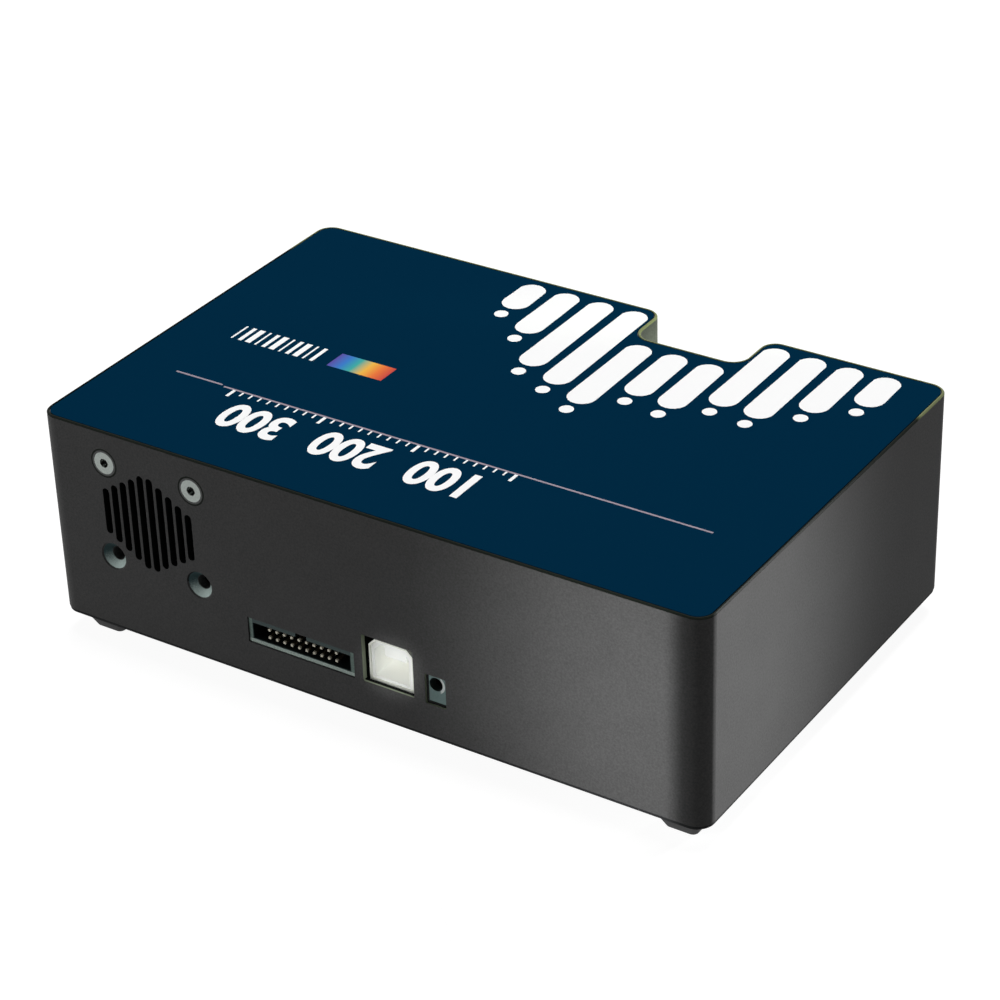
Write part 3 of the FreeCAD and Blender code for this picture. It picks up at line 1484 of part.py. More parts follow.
def make_detector():
    """Filter, window, detector, its board with a slot for the cold finger, and the cold plate."""
    order_filter = upright_box(
        "order_filter", f"{BENCH_LEFT} + bench_wall", "filter_thickness", "filter_length", "filter_height"
    )
    pane_length = "(window_length - window_gap * 2)"
    pane_height = "(window_height - window_gap * 2)"
    window = upright_box("detector_window", BENCH_LEFT, "window_thickness", pane_length, pane_height)
    detector = upright_box(
        "detector_array", DETECTOR_BACK, "detector_thickness", "detector_length", "detector_height"
    )
    board = new_body("detector_board")
    outline = new_sketch(board, "YZ_Plane", SENSOR_BOARD_BACK)
    centred(outline, "detector_y", OPTIC_Z, "sensor_board_length", "sensor_board_height", "board_corner")
    slot_length = "(finger_length + finger_gap * 2)"
    slot_height = "(finger_height + finger_gap * 2)"
    centred(outline, "detector_y", OPTIC_Z, slot_length, slot_height)
    pad(outline, "sensor_board_thickness")
    cold = new_body("cold_plate")
    finger = new_sketch(cold, "YZ_Plane", COLD_PLATE_FRONT)
    centred(finger, "detector_y", OPTIC_Z, "finger_length", "finger_height")
    pad(finger, "finger_reach")
    plate = new_sketch(cold, "YZ_Plane", COLD_PLATE_FRONT)
    centred(plate, "detector_y", OPTIC_Z, "cold_plate_length", "cold_plate_height")
    pad(plate, "cold_plate_thickness", reverse=True)
    cooler = upright_box(
        "peltier_module", SINK_FRONT, "peltier_thickness", "peltier_length", "peltier_height"
    )
    keep(order_filter, window, detector, board, cold, cooler)


def make_heat_sink():
    """The finned sink, spaced off the bench wall by two sleeves with long screws."""
    sink = new_body("heat_sink")
    base = new_sketch(sink, "YZ_Plane", SINK_BACK)
    centred(base, "detector_y", OPTIC_Z, "sink_length", "sink_height")
    pad(base, "sink_base")
    fins = new_sketch(sink, "YZ_Plane", SINK_BACK)
    fin_pitch = "(sink_height - fin_thickness) / (fin_count - 1)"
    for i in range(int(number("fin_count"))):
        z = f"{OPTIC_Z} - sink_height / 2 + {fin_pitch} * {i}"
        rectangle(fins, "detector_y - fin_length / 2", z, "fin_length", "fin_thickness")
    pad(fins, "fin_reach", reverse=True)
    holes = new_sketch(sink, "YZ_Plane", SINK_BACK)
    screw_rows = ("detector_y - sink_screw_y", "detector_y + sink_screw_y")
    for y in screw_rows:
        circle(holes, y, OPTIC_Z, "screw_radius + screw_clearance")
    pocket(holes, "sink_base", reverse=True)

    spacer = new_body("spacer")
    ring = new_sketch(spacer, "YZ_Plane")
    circle(ring, "0", "0", "spacer_radius")
    circle(ring, "0", "0", "screw_radius + screw_clearance")
    pad(ring, f"{BENCH_LEFT} - {SINK_FRONT}")
    spacers = group("sink_spacers", spacer, [spot(SINK_FRONT, y, OPTIC_Z) for y in screw_rows])
    length = f"{BENCH_LEFT} - {SINK_BACK} + sink_screw_grip"
    screw = cap_screw("sink_screw", "pan_head_radius", "pan_head_height", "screw_radius", length)
    outward = Rotation(Y_AXIS, -90)
    screws = group("sink_screws", screw, [spot(SINK_BACK, y, OPTIC_Z, outward) for y in screw_rows])
    keep(sink, spacers, screws)


def make_flat_cable():
    """The flat cable between the detector board and the main board, with a socket at each end."""
    top_x = f"({SENSOR_BOARD_BACK} - socket_thickness / 2)"
    low_x = f"({SENSOR_BOARD_BACK} - socket_thickness / 2 - cable_step)"
    socket_bottom = f"({OPTIC_Z} - sensor_socket_drop)"
    box(
        "detector_flex_socket",
        f"{SENSOR_BOARD_BACK} - socket_thickness",
        "cable_y - socket_width / 2",
        socket_bottom,
        "socket_thickness",
        "socket_width",
        "socket_height",
    )
    box(
        "board_flex_socket",
        f"{low_x} - socket_thickness / 2",
        "cable_y - socket_width / 2",
        BOARD_TOP,
        "socket_thickness",
        "socket_width",
        "socket_height",
    )
    cable = new_body("detector_flex", "0", "cable_y", "0")
    path = new_sketch(cable, "XZ_Plane")
    foot = f"{BOARD_TOP} + socket_height"
    half = "cable_thickness / 2"
    kink_top = f"({socket_bottom} - cable_kink_drop / 2)"
    kink_low = f"({socket_bottom} - cable_kink_drop / 2 - cable_step)"
    profile(path, [
        (f"{top_x} - {half}", socket_bottom),
        (f"{top_x} - {half}", kink_top, "cable_bend"),
        (f"{low_x} - {half}", kink_low, "cable_bend"),
        (f"{low_x} - {half}", foot),
        (f"{low_x} + {half}", foot),
        (f"{low_x} + {half}", kink_low, "cable_bend"),
        (f"{top_x} + {half}", kink_top, "cable_bend"),
        (f"{top_x} + {half}", socket_bottom),
    ])
    pad(path, "cable_width", symmetric=True)
    keep(cable, doc.getObject("detector_flex_socket"), doc.getObject("board_flex_socket"))


make_housing()
make_base_plate()
make_top_label()
make_feet()
make_fan()
make_board()
make_header()
make_usb()
make_power_socket()
make_bench()
make_optics()
make_connector()
make_detector()
make_heat_sink()
make_flat_cable()
doc.recompute()

# Every object has to be sound, and every cut has to take material away, before anything is written
CUTS = ("PartDesign::Pocket", "PartDesign::Hole")
failed = [thing.Name for thing in doc.Objects if "Invalid" in thing.State or "Error" in thing.State]
for thing in doc.Objects:
    if thing.TypeId in CUTS and thing.Shape.Volume >= thing.BaseFeature.Shape.Volume - 1e-6:
        failed.append(thing.Name + " cuts nothing")
for thing in NODES:
    if thing.Shape.isNull() or not thing.Shape.isValid():
        failed.append(thing.Label + " has no sound shape")
if failed:
    raise RuntimeError("Failed: " + ", ".join(failed))

os.makedirs("parts", exist_ok=True)
for thing in NODES:
    thing.Shape.exportStep(f"parts/{thing.Label}.step")
    solids = len(thing.Shape.Solids)
    print(f"{thing.Label}: {solids} solid(s), {thing.Shape.Volume:.1f} mm3")
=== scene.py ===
"""Finishes, small detail, light and camera for a compact cooled fibre spectrometer.

Lengths are in millimetres in the dataclasses and turn into Blender's metres where a mesh is made.
X runs along the case, -Y is the face with the sockets, +Y the side of the fibre bay, Z = 0 the table.
"""

import logging
import math
from dataclasses import dataclass
from enum import Enum

import bmesh
import bpy
from mathutils import Matrix, Vector


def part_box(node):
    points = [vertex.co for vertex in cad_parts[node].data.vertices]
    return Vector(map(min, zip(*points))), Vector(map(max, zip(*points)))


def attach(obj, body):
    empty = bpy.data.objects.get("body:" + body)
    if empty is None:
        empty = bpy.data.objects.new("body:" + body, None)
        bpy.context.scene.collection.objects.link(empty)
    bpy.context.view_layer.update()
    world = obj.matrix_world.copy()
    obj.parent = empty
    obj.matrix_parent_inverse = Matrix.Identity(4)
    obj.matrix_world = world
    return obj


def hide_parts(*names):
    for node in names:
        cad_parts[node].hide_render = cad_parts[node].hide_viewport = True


MM = 0.001
MERGE_DISTANCE = 1e-7
log = logging.getLogger("spectrometer")


class Body(Enum):
    """The rigid bodies that a piece can ride on."""

    CHASSIS = "chassis"
    ROTOR = "rotor"


# Colour and shader helpers


def linear(red: float, green: float, blue: float) -> tuple[float, float, float, float]:
    """Turn a display colour of 0 to 255 into the linear one that shaders take.

    Args:
        red: Red as displayed.
        green: Green as displayed.
        blue: Blue as displayed.

    Returns:
        The linear colour with an alpha of one.
    """

    def channel(value: float) -> float:
        """Turn one channel."""
        part = value / 255
        return part / 12.92 if part <= 0.04045 else ((part + 0.055) / 1.055) ** 2.4

    return channel(red), channel(green), channel(blue), 1.0


class Wiring:
    """A node tree with short ways to add and join nodes."""

    def __init__(self, tree: bpy.types.NodeTree) -> None:
        """Hold the tree that is being wired."""
        self.tree = tree

    def add(self, kind: str, **settings: object) -> bpy.types.Node:
        """Add a node.

        Args:
            kind: The node's class name after ShaderNode, or a group's full class name.
            settings: Properties to set on the node.

        Returns:
            The new node.
        """
        name = kind if kind.startswith("Node") else "ShaderNode" + kind
        node = self.tree.nodes.new(name)
        for key, value in settings.items():
            setattr(node, key, value)
        return node

    def feed(self, target: bpy.types.NodeSocket, source: object) -> None:
        """Join a socket to an input, or write a plain value into it.

        Args:
            target: The input to fill.
            source: A socket, or a plain value.
        """
        if isinstance(source, bpy.types.NodeSocket):
            self.tree.links.new(source, target)
        else:
            target.default_value = source

    def math(self, operation: str, *values: object) -> bpy.types.NodeSocket:
        """Do one sum on numbers or sockets and return its result.

        Args:
            operation: What the node does.
            values: Numbers or sockets, in the node's order.

        Returns:
            The result.
        """
        node = self.add("Math", operation=operation)
        for socket, value in zip(node.inputs, values):
            self.feed(socket, value)
        return node.outputs[0]

    def step(self, value: object, low: float, high: float) -> bpy.types.NodeSocket:
        """Rise smoothly from 0 at low to 1 at high, or fall if low is the larger.

        Args:
            value: What is looked at.
            low: Where the result is 0.
            high: Where the result is 1.

        Returns:
            A value from 0 to 1.
        """
        node = self.add("MapRange", interpolation_type="SMOOTHSTEP")
        rising = low < high
        self.feed(node.inputs["Value"], value)
        node.inputs["From Min"].default_value = min(low, high)
        node.inputs["From Max"].default_value = max(low, high)
        node.inputs["To Min"].default_value = 0.0 if rising else 1.0
        node.inputs["To Max"].default_value = 1.0 if rising else 0.0
        return node.outputs["Result"]

    def split(self, vector: bpy.types.NodeSocket) -> tuple[bpy.types.NodeSocket, ...]:
        """The X, Y and Z parts of a vector.

        Args:
            vector: The vector.

        Returns:
            The three parts.
        """
        parts = self.add("SeparateXYZ")
        self.feed(parts.inputs[0], vector)
        return tuple(parts.outputs[axis] for axis in "XYZ")

    def distance(self, first: object, second: object) -> bpy.types.NodeSocket:
        """The length of a vector with two parts."""
        squares = [self.math("POWER", part, 2.0) for part in (first, second)]
        return self.math("SQRT", self.math("ADD", *squares))

    def near(self, value: object, middle: float, half: float, edge: float) -> bpy.types.NodeSocket:
        """One where a value lies within half of the middle, with a soft edge outside it."""
        far = self.math("ABSOLUTE", self.math("SUBTRACT", value, middle))
        return self.step(far, half + edge, half)

    def mix(self, factor: object, first: object, second: object) -> bpy.types.NodeSocket:
        """Blend two colours and return the result.

        Args:
            factor: The second colour's share.
            first: The first colour.
            second: The second colour.

        Returns:
            The blend.
        """
        node = self.add("Mix", data_type="RGBA")
        colours = [socket for socket in node.inputs if socket.type == "RGBA"]
        self.feed(node.inputs["Factor"], factor)
        self.feed(colours[0], first)
        self.feed(colours[1], second)
        return next(socket for socket in node.outputs if socket.type == "RGBA")

    def group(self, tree: bpy.types.NodeTree, **values: object) -> bpy.types.Node:
        """Place a node group and feed its named inputs, underscores standing for spaces.

        Args:
            tree: The group.
            values: Its inputs by name.

        Returns:
            The placed node.
        """
        node = self.add("Group", node_tree=tree)
        for key, value in values.items():
            self.feed(node.inputs[key.replace("_", " ")], value)
        return node


def new_group(
    name: str, inputs: dict[str, str], outputs: dict[str, str]
) -> tuple[Wiring, dict[str, bpy.types.NodeSocket], bpy.types.Node]:
    """Start a shader node group.

    Args:
        name: The group's name.
        inputs: Input names with their socket kinds.
        outputs: Output names with their socket kinds.

    Returns:
        The group's wiring, its input sockets by name, and its output node.
    """
    tree = bpy.data.node_groups.new(name, "ShaderNodeTree")
    for direction, sockets in (("INPUT", inputs), ("OUTPUT", outputs)):
        for label, kind in sockets.items():
            tree.interface.new_socket(label, in_out=direction, socket_type="NodeSocket" + kind)
    wiring = Wiring(tree)
    entry = wiring.add("NodeGroupInput")
    given = {socket.name: socket for socket in entry.outputs if socket.name}
    return wiring, given, wiring.add("NodeGroupOutput")


@dataclass
class Effects:
    """The surface effects that several finishes share, each built once."""

    fine_detail: float = 3.0
    slow_detail: float = 2.0
    drift_scale: float = 0.04
    drift_share: float = 0.25
    scuff_line: tuple[float, float] = (0.006, 0.001)
    patch_scale: float = 2.3
    patch_edge: tuple[float, float] = (0.58, 0.66)

    def __post_init__(self) -> None:
        """Build the groups."""
        self.grain = self._grain()
        self.marks = self._marks()

    def _grain(self) -> bpy.types.NodeTree:
        """Fine grain: uneven colour, roughness and height at one scale, with a slow drift under it.

        Returns:
            The group.
        """
        wiring, given, out = new_group(
            "surface_grain",
            {"Vector": "Vector", "Colour": "Color", "Scale": "Float", "Contrast": "Float",
             "Roughness": "Float", "Spread": "Float"},
            {"Colour": "Color", "Roughness": "Float", "Height": "Float"},
        )
        fine = wiring.add("TexNoise")
        slow = wiring.add("TexNoise")
        wiring.feed(fine.inputs["Vector"], given["Vector"])
        wiring.feed(slow.inputs["Vector"], given["Vector"])
        wiring.feed(fine.inputs["Scale"], given["Scale"])
        wiring.feed(slow.inputs["Scale"], wiring.math("MULTIPLY", given["Scale"], self.drift_scale))
        fine.inputs["Detail"].default_value = self.fine_detail
        slow.inputs["Detail"].default_value = self.slow_detail
        grains = wiring.math("SUBTRACT", fine.outputs["Fac"], 0.5)
        drift = wiring.math("SUBTRACT", slow.outputs["Fac"], 0.5)
        both = wiring.math("ADD", grains, wiring.math("MULTIPLY", drift, self.drift_share))
        light = wiring.math("ADD", 1.0, wiring.math("MULTIPLY", both, given["Contrast"]))
        shade = wiring.add("HueSaturation")
        wiring.feed(shade.inputs["Color"], given["Colour"])
        wiring.feed(shade.inputs["Value"], light)
        rough = wiring.math("MULTIPLY_ADD", both, given["Spread"], given["Roughness"])
        wiring.feed(out.inputs["Colour"], shade.outputs["Color"])
        wiring.feed(out.inputs["Roughness"], rough)
        wiring.feed(out.inputs["Height"], fine.outputs["Fac"])
        return wiring.tree

    def _marks(self) -> bpy.types.NodeTree:
        """Small scattered scuffs: thin curved lines that show here and there.

        Returns:
            The group.
        """
        wiring, given, out = new_group(
            "handling_marks",
            {"Vector": "Vector", "Scale": "Float", "Amount": "Float"},
            {"Mask": "Float"},
        )
        bend = wiring.add("TexNoise")
        wiring.feed(bend.inputs["Vector"], given["Vector"])
        wiring.feed(bend.inputs["Scale"], given["Scale"])
        bend.inputs["Detail"].default_value = 1.0
        line = wiring.math("ABSOLUTE", wiring.math("SUBTRACT", bend.outputs["Fac"], 0.5))
        thin = wiring.step(line, *self.scuff_line)
        where = wiring.add("TexNoise")
        wiring.feed(where.inputs["Vector"], given["Vector"])
        wiring.feed(where.inputs["Scale"], wiring.math("MULTIPLY", given["Scale"], self.patch_scale))
        patch = wiring.step(where.outputs["Fac"], *self.patch_edge)
        mask = wiring.math("MULTIPLY", wiring.math("MULTIPLY", thin, patch), given["Amount"])
        wiring.feed(out.inputs["Mask"], mask)
        return wiring.tree


# Finishes


@dataclass(frozen=True)
class Finish:
    """A plain surface with grain, from which every other finish starts."""

    name: str
    colour: tuple[float, float, float]
    roughness: float = 0.5
    metallic: float = 0.0
    specular: float = 0.5
    grain: float = 0.25
    contrast: float = 0.15
    spread: float = 0.08
    depth: float = 0.004
    stretch: tuple[float, float, float] = (1.0, 1.0, 1.0)
    scuffs: float = 0.0
    scuff_scale: float = 60.0
    scuff_colour: tuple[float, float, float] = (120, 120, 120)
    coat: float = 0.0

    def build(self, effects: Effects) -> bpy.types.Material:
        """Make the material.

        Args:
            effects: The shared surface effects.

        Returns:
            The finished material.
        """
        material = bpy.data.materials.new(self.name)
        material.use_nodes = True
        wiring = Wiring(material.node_tree)
        shader = wiring.tree.nodes["Principled BSDF"]
        shader.inputs["Metallic"].default_value = self.metallic
        shader.inputs["Specular IOR Level"].default_value = self.specular
        shader.inputs["Coat Weight"].default_value = self.coat
        place = wiring.add("TexCoord").outputs["Object"]
        mapping = wiring.add("Mapping")
        wiring.feed(mapping.inputs["Vector"], place)
        mapping.inputs["Scale"].default_value = self.stretch
        grain = wiring.group(
            effects.grain,
            Vector=mapping.outputs["Vector"],
            Colour=self.paint(wiring, place),
            Scale=1.0 / (self.grain * MM),
            Contrast=self.contrast,
            Roughness=self.roughness,
            Spread=self.spread,
        )
        colour = grain.outputs["Colour"]
        if self.scuffs:
            marks = wiring.group(effects.marks, Vector=place, Scale=self.scuff_scale, Amount=self.scuffs)
            colour = wiring.mix(marks.outputs["Mask"], colour, linear(*self.scuff_colour))
        wiring.feed(shader.inputs["Base Color"], colour)
        wiring.feed(shader.inputs["Roughness"], grain.outputs["Roughness"])
        bump = wiring.add("Bump")
        bump.inputs["Distance"].default_value = self.depth * MM
        wiring.feed(bump.inputs["Height"], self.relief(wiring, place, grain.outputs["Height"]))
        wiring.feed(shader.inputs["Normal"], bump.outputs["Normal"])
        self.adjust(wiring, shader, place)
        return material

    def paint(self, wiring: Wiring, place: bpy.types.NodeSocket) -> object:
        """The colour before grain."""
        return linear(*self.colour)

    def relief(self, wiring: Wiring, place: bpy.types.NodeSocket, height: bpy.types.NodeSocket) -> object:
        """The height before it becomes a normal."""
        return height

    def adjust(self, wiring: Wiring, shader: bpy.types.Node, place: bpy.types.NodeSocket) -> None:
        """Change the shader last of all."""


@dataclass(frozen=True)
class CaseFinish(Finish):
    """Black anodising with painted shade on the top rim and a painted highlight on it at the back, rings of
    painted shade round the upper screws, painted shade inside the grille and deep in the cut-outs, pale bare
    metal at the cut-outs' mouths, and bare metal countersinks with painted highlight and shade.
    """

    low: tuple[float, float, float] = (-85.0, -55.0, 6.6)
    high: tuple[float, float, float] = (85.0, 55.0, 57.5)
    front: float = -55.0
    wall: float = 4.0
    skin: float = 0.15
    edge: float = 0.1
    rim_height: float = 57.2
    rim_fade: float = 0.15
    # Painted shade: the dark colour of the top rim, and of the rings round the upper screws.
    rim: tuple[float, float, float] = (14, 19, 14)
    # Painted highlight: the pale olive that the rim turns to at the back.
    back_rim_highlight: tuple[float, float, float] = (122, 128, 92)
    back_start: float = 38.0
    back_fade: float = 3.0
    cone_centres: tuple[tuple[float, float], ...] = ()
    cone_radius: float = 3.15
    cone_depth: float = 1.8
    bore_radius: float = 1.75
    # Painted highlight and painted shade of the bare countersinks.
    cone_lit: tuple[float, float, float] = (176, 192, 188)
    cone_shaded: tuple[float, float, float] = (48, 66, 68)
    cone_metal: float = 0.35
    cone_slant: float = 0.45
    cone_shine: tuple[float, float] = (-1.6, 2.6)
    streak_scale: float = 900.0
    streak_reach: float = 6.0
    # Rings of painted shade round the upper screw heads.
    ring_centres: tuple[tuple[float, float], ...] = ()
    ring_width: float = 0.4
    cutouts: tuple[tuple[float, float, float, float], ...] = ()
    cut_frame: float = 0.2
    cut_depth: float = 1.3
    cut_sill: tuple[float, float] = (0.1, 0.25)
    sill_depth: float = 0.45
    cut_wall: tuple[float, float, float] = (164, 174, 152)
    grille: tuple[float, float, float] = (0.0, 0.0, 0.0)
    # Near black: painted shade inside the grille and deep in the cut-outs.
    deep: tuple[float, float, float] = (6, 8, 8)

    def adjust(self, wiring: Wiring, shader: bpy.types.Node, place: bpy.types.NodeSocket) -> None:
        """Lay the rim's painted shade and highlight, the rings of painted shade, the cut-out walls with their
        painted shade, the painted shade in the grille and the cones' painted highlight and shade over the
        anodising.

        Args:
            wiring: The material's node tree.
            shader: The material's surface shader.
            place: The Object coordinates.
        """
        x, y, z = wiring.split(place)
        colour = shader.inputs["Base Color"].links[0].from_socket
        # Painted shade: the top rim is dark, as the groove round the film lies in shade. At the back it turns
        # to a pale olive painted highlight.
        rim = wiring.step(z, (self.rim_height - self.rim_fade) * MM, self.rim_height * MM)
        back = wiring.step(y, self.back_start * MM, (self.back_start + self.back_fade) * MM)
        rim_shade_highlight = wiring.mix(back, linear(*self.rim), linear(*self.back_rim_highlight))
        colour = wiring.mix(rim, colour, rim_shade_highlight)
        skin = wiring.near(y, self.front * MM, self.skin * MM, self.edge * MM)
        # Painted shade: a dark ring round each upper screw head, where the gap lies in shade.
        for across, up in self.ring_centres:
            disc = self._disc(wiring, x, z, across, up, self.cone_radius + self.ring_width)
            colour = wiring.mix(wiring.math("MULTIPLY", skin, disc), colour, linear(*self.rim))
        middle = self.front + self.edge + self.wall / 2
        inside = wiring.near(y, middle * MM, self.wall * MM / 2, self.edge * MM / 2)
        # Painted shade: the walls inside the grille are near black.
        fan = wiring.math("MULTIPLY", inside, self._disc(wiring, x, z, *self.grille))
        colour = wiring.mix(fan, colour, linear(*self.deep))
        shallow, lip_and_glint = (
            wiring.step(y, (self.front + depth + self.edge) * MM, (self.front + depth) * MM)
            for depth in (self.cut_depth, self.sill_depth)
        )
        # Cut-out walls: pale bare metal at the mouth, painted shade (near black) deeper in and along the
        # floor.
        for across, up, half_width, half_height in self.cutouts:
            sill = (up - half_height + height for height in self.cut_sill)
            above = wiring.step(z, *(height * MM for height in sill))
            pale = wiring.math("MAXIMUM", lip_and_glint, wiring.math("MULTIPLY", shallow, above))
            wall = wiring.mix(pale, linear(*self.deep), linear(*self.cut_wall))
            framed = wiring.math(
                "MULTIPLY",
                wiring.near(x, across * MM, (half_width + self.cut_frame) * MM, self.edge * MM),
                wiring.near(z, up * MM, (half_height + self.cut_frame) * MM, self.edge * MM),
            )
            colour = wiring.mix(wiring.math("MULTIPLY", inside, framed), colour, wall)
        # Painted highlight and shade on the countersinks: lit at the lower right, dark at the upper left, the
        # edge broken up by fine streaks.
        streaks = self._shine_streaks(wiring, place)
        metal = 0.0
        for across, up in self.cone_centres:
            cone, light = self._cone(wiring, (x, y, z), across, up, streaks)
            shade = wiring.mix(light, linear(*self.cone_shaded), linear(*self.cone_lit))
            colour = wiring.mix(cone, colour, shade)
            metal = wiring.math("MAXIMUM", metal, wiring.math("MULTIPLY", cone, self.cone_metal))
        wiring.feed(shader.inputs["Base Color"], colour)
        wiring.feed(shader.inputs["Metallic"], metal)

    def _disc(
        self, wiring: Wiring, x: object, z: object, across: float, up: float, radius: float
    ) -> bpy.types.NodeSocket:
        """The mask of a disc in the front wall.

        Args:
            wiring: The material's node tree.
            x: The X coordinate.
            z: The Z coordinate.
            across: Its middle along X, in millimetres.
            up: Its middle along Z, in millimetres.
            radius: The disc's radius, in millimetres.

        Returns:
            The mask.
        """
        far = wiring.distance(*(
            wiring.math("SUBTRACT", value, centre * MM) for value, centre in ((x, across), (z, up))
        ))
        return wiring.step(far, (radius + self.edge / 2) * MM, radius * MM)

    def _shine_streaks(self, wiring: Wiring, place: bpy.types.NodeSocket) -> bpy.types.NodeSocket:
        """Fine streaks that break up the painted shine of the cones, set out over the housing's own box.

        Args:
            wiring: The material's node tree.
            place: The Object coordinates.

        Returns:
            How far the painted shine is shifted, in metres.
        """
        sizes = [(high - low) * MM for low, high in zip(self.low, self.high)]
        share = wiring.add("Mapping")
        wiring.feed(share.inputs["Vector"], place)
        share.inputs["Scale"].default_value = [1.0 / size for size in sizes]
        share.inputs["Location"].default_value = [-low * MM / size for low, size in zip(self.low, sizes)]
        chatter = wiring.add("TexNoise")
        wiring.feed(chatter.inputs["Vector"], share.outputs["Vector"])
        chatter.inputs["Scale"].default_value = self.streak_scale
        swing = wiring.math("SUBTRACT", chatter.outputs["Fac"], 0.5)
        return wiring.math("MULTIPLY", swing, self.streak_reach * MM)

    def _cone(
        self, wiring: Wiring, place: tuple[object, object, object], across: float, up: float, streaks: object
    ) -> tuple[bpy.types.NodeSocket, bpy.types.NodeSocket]:
        """The mask of one countersink, and its painted shading, dark at the upper left and lit at the lower
        right.

        Args:
            wiring: The material's node tree.
            place: The X, Y and Z coordinates.
            across: Its middle along X, in millimetres.
            up: Its middle along Z, in millimetres.
            streaks: The streaks in the painted shine.

        Returns:
            The cone's mask and its painted brightness.
        """
        x, y, z = place
        floor = self.front + self.cone_depth
        sunk = wiring.step(y, (floor + self.edge) * MM, floor * MM)
        disc = self._disc(wiring, x, z, across, up, self.cone_radius)
        bore = self._disc(wiring, x, z, across, up, self.bore_radius)
        cone = wiring.math("MULTIPLY", disc, sunk)
        cone = wiring.math("MULTIPLY", cone, wiring.math("SUBTRACT", 1.0, bore))
        slope = wiring.math("MULTIPLY", wiring.math("SUBTRACT", x, across * MM), self.cone_slant)
        slope = wiring.math("SUBTRACT", slope, wiring.math("SUBTRACT", z, up * MM))
        shine = wiring.math("ADD", slope, streaks)
        return cone, wiring.step(shine, *(end * MM for end in self.cone_shine))


@dataclass(frozen=True)
class SocketScrewFinish(Finish):
    """Bright countersunk screws in the front wall, with painted shade at the rim and in the hexagon socket.
    """

    centres: tuple[tuple[float, float], ...] = ()
    face_radius: float = 2.62
    socket_radius: float = 1.15
    edge: float = 0.12
    # Painted shade for the rim and the socket of each head.
    shade: tuple[float, float, float] = (10, 14, 14)

    def adjust(self, wiring: Wiring, shader: bpy.types.Node, place: bpy.types.NodeSocket) -> None:
        """Paint shade on the rim and in the socket.

        Args:
            wiring: The material's node tree.
            shader: The material's surface shader.
            place: The Object coordinates.
        """
        x, _, z = wiring.split(place)
        colour = shader.inputs["Base Color"].links[0].from_socket
        middle = (self.face_radius + self.socket_radius) * MM / 2
        half = (self.face_radius - self.socket_radius) * MM / 2
        # Painted shade wherever no head's bright face is: in each socket and at each rim.
        dark = 1.0
        for across, up in self.centres:
            dx = wiring.math("SUBTRACT", x, across * MM)
            dz = wiring.math("SUBTRACT", z, up * MM)
            face = wiring.near(wiring.distance(dx, dz), middle, half, self.edge * MM)
            dark = wiring.math("MULTIPLY", dark, wiring.math("SUBTRACT", 1.0, face))
        wiring.feed(shader.inputs["Base Color"], wiring.mix(dark, colour, linear(*self.shade)))


@dataclass(frozen=True)
class ShroudFinish(Finish):
    """Dark moulded plastic with painted shade (black) inside, a bright painted highlight along the lower
    front edge and a paler painted highlight at the ends.
    """

    front: float = -54.7
    edge_depth: float = 0.25
    low: float = 15.8
    ends: tuple[float, float] = (-30.25, -2.05)
    end_width: float = 0.7
    end_fade: float = 0.3
    low_fade: float = 0.2
    face_fade: float = 0.1
    # Painted highlight colours for the lower edge and the ends, and the painted shade inside.
    edge: tuple[float, float, float] = (206, 224, 216)
    end_highlight: tuple[float, float, float] = (120, 142, 134)
    inside: tuple[float, float, float] = (16, 20, 20)

    def paint(self, wiring: Wiring, place: bpy.types.NodeSocket) -> object:
        """Lay the painted highlights on the edges and the painted shade inside over the plastic.

        Args:
            wiring: The material's node tree.
            place: The Object coordinates.

        Returns:
            The colour.
        """
        x, y, z = wiring.split(place)
        colour = linear(*self.colour)
        # Painted highlight at both ends of the front.
        for end in self.ends:
            side = wiring.near(x, end * MM, self.end_width * MM, self.end_fade * MM)
            colour = wiring.mix(side, colour, linear(*self.end_highlight))
        # Painted highlight along the lower edge.
        below = wiring.step(z, self.low * MM, (self.low - self.low_fade) * MM)
        colour = wiring.mix(below, colour, linear(*self.edge))
        # Painted shade: all but the front face is near black.
        face = wiring.near(y, self.front * MM, self.edge_depth * MM, self.face_fade * MM)
        return wiring.mix(face, linear(*self.inside), colour)


@dataclass(frozen=True)
class PinFinish(Finish):
    """Plated pins, bright at the tips, with painted shade further in where they stand in the dark."""

    tip: float = -54.2
    tip_length: float = 0.35
    fade: float = 0.3
    # Painted shade for the pins inside the shroud.
    pin_shade: tuple[float, float, float] = (58, 50, 38)

    def paint(self, wiring: Wiring, place: bpy.types.NodeSocket) -> object:
        """Fade from the tip into painted shade.

        Args:
            wiring: The material's node tree.
            place: The Object coordinates.

        Returns:
            The colour.
        """
        _, y, _ = wiring.split(place)
        face = wiring.near(y, self.tip * MM, self.tip_length * MM, self.fade * MM)
        return wiring.mix(face, linear(*self.pin_shade), linear(*self.colour))


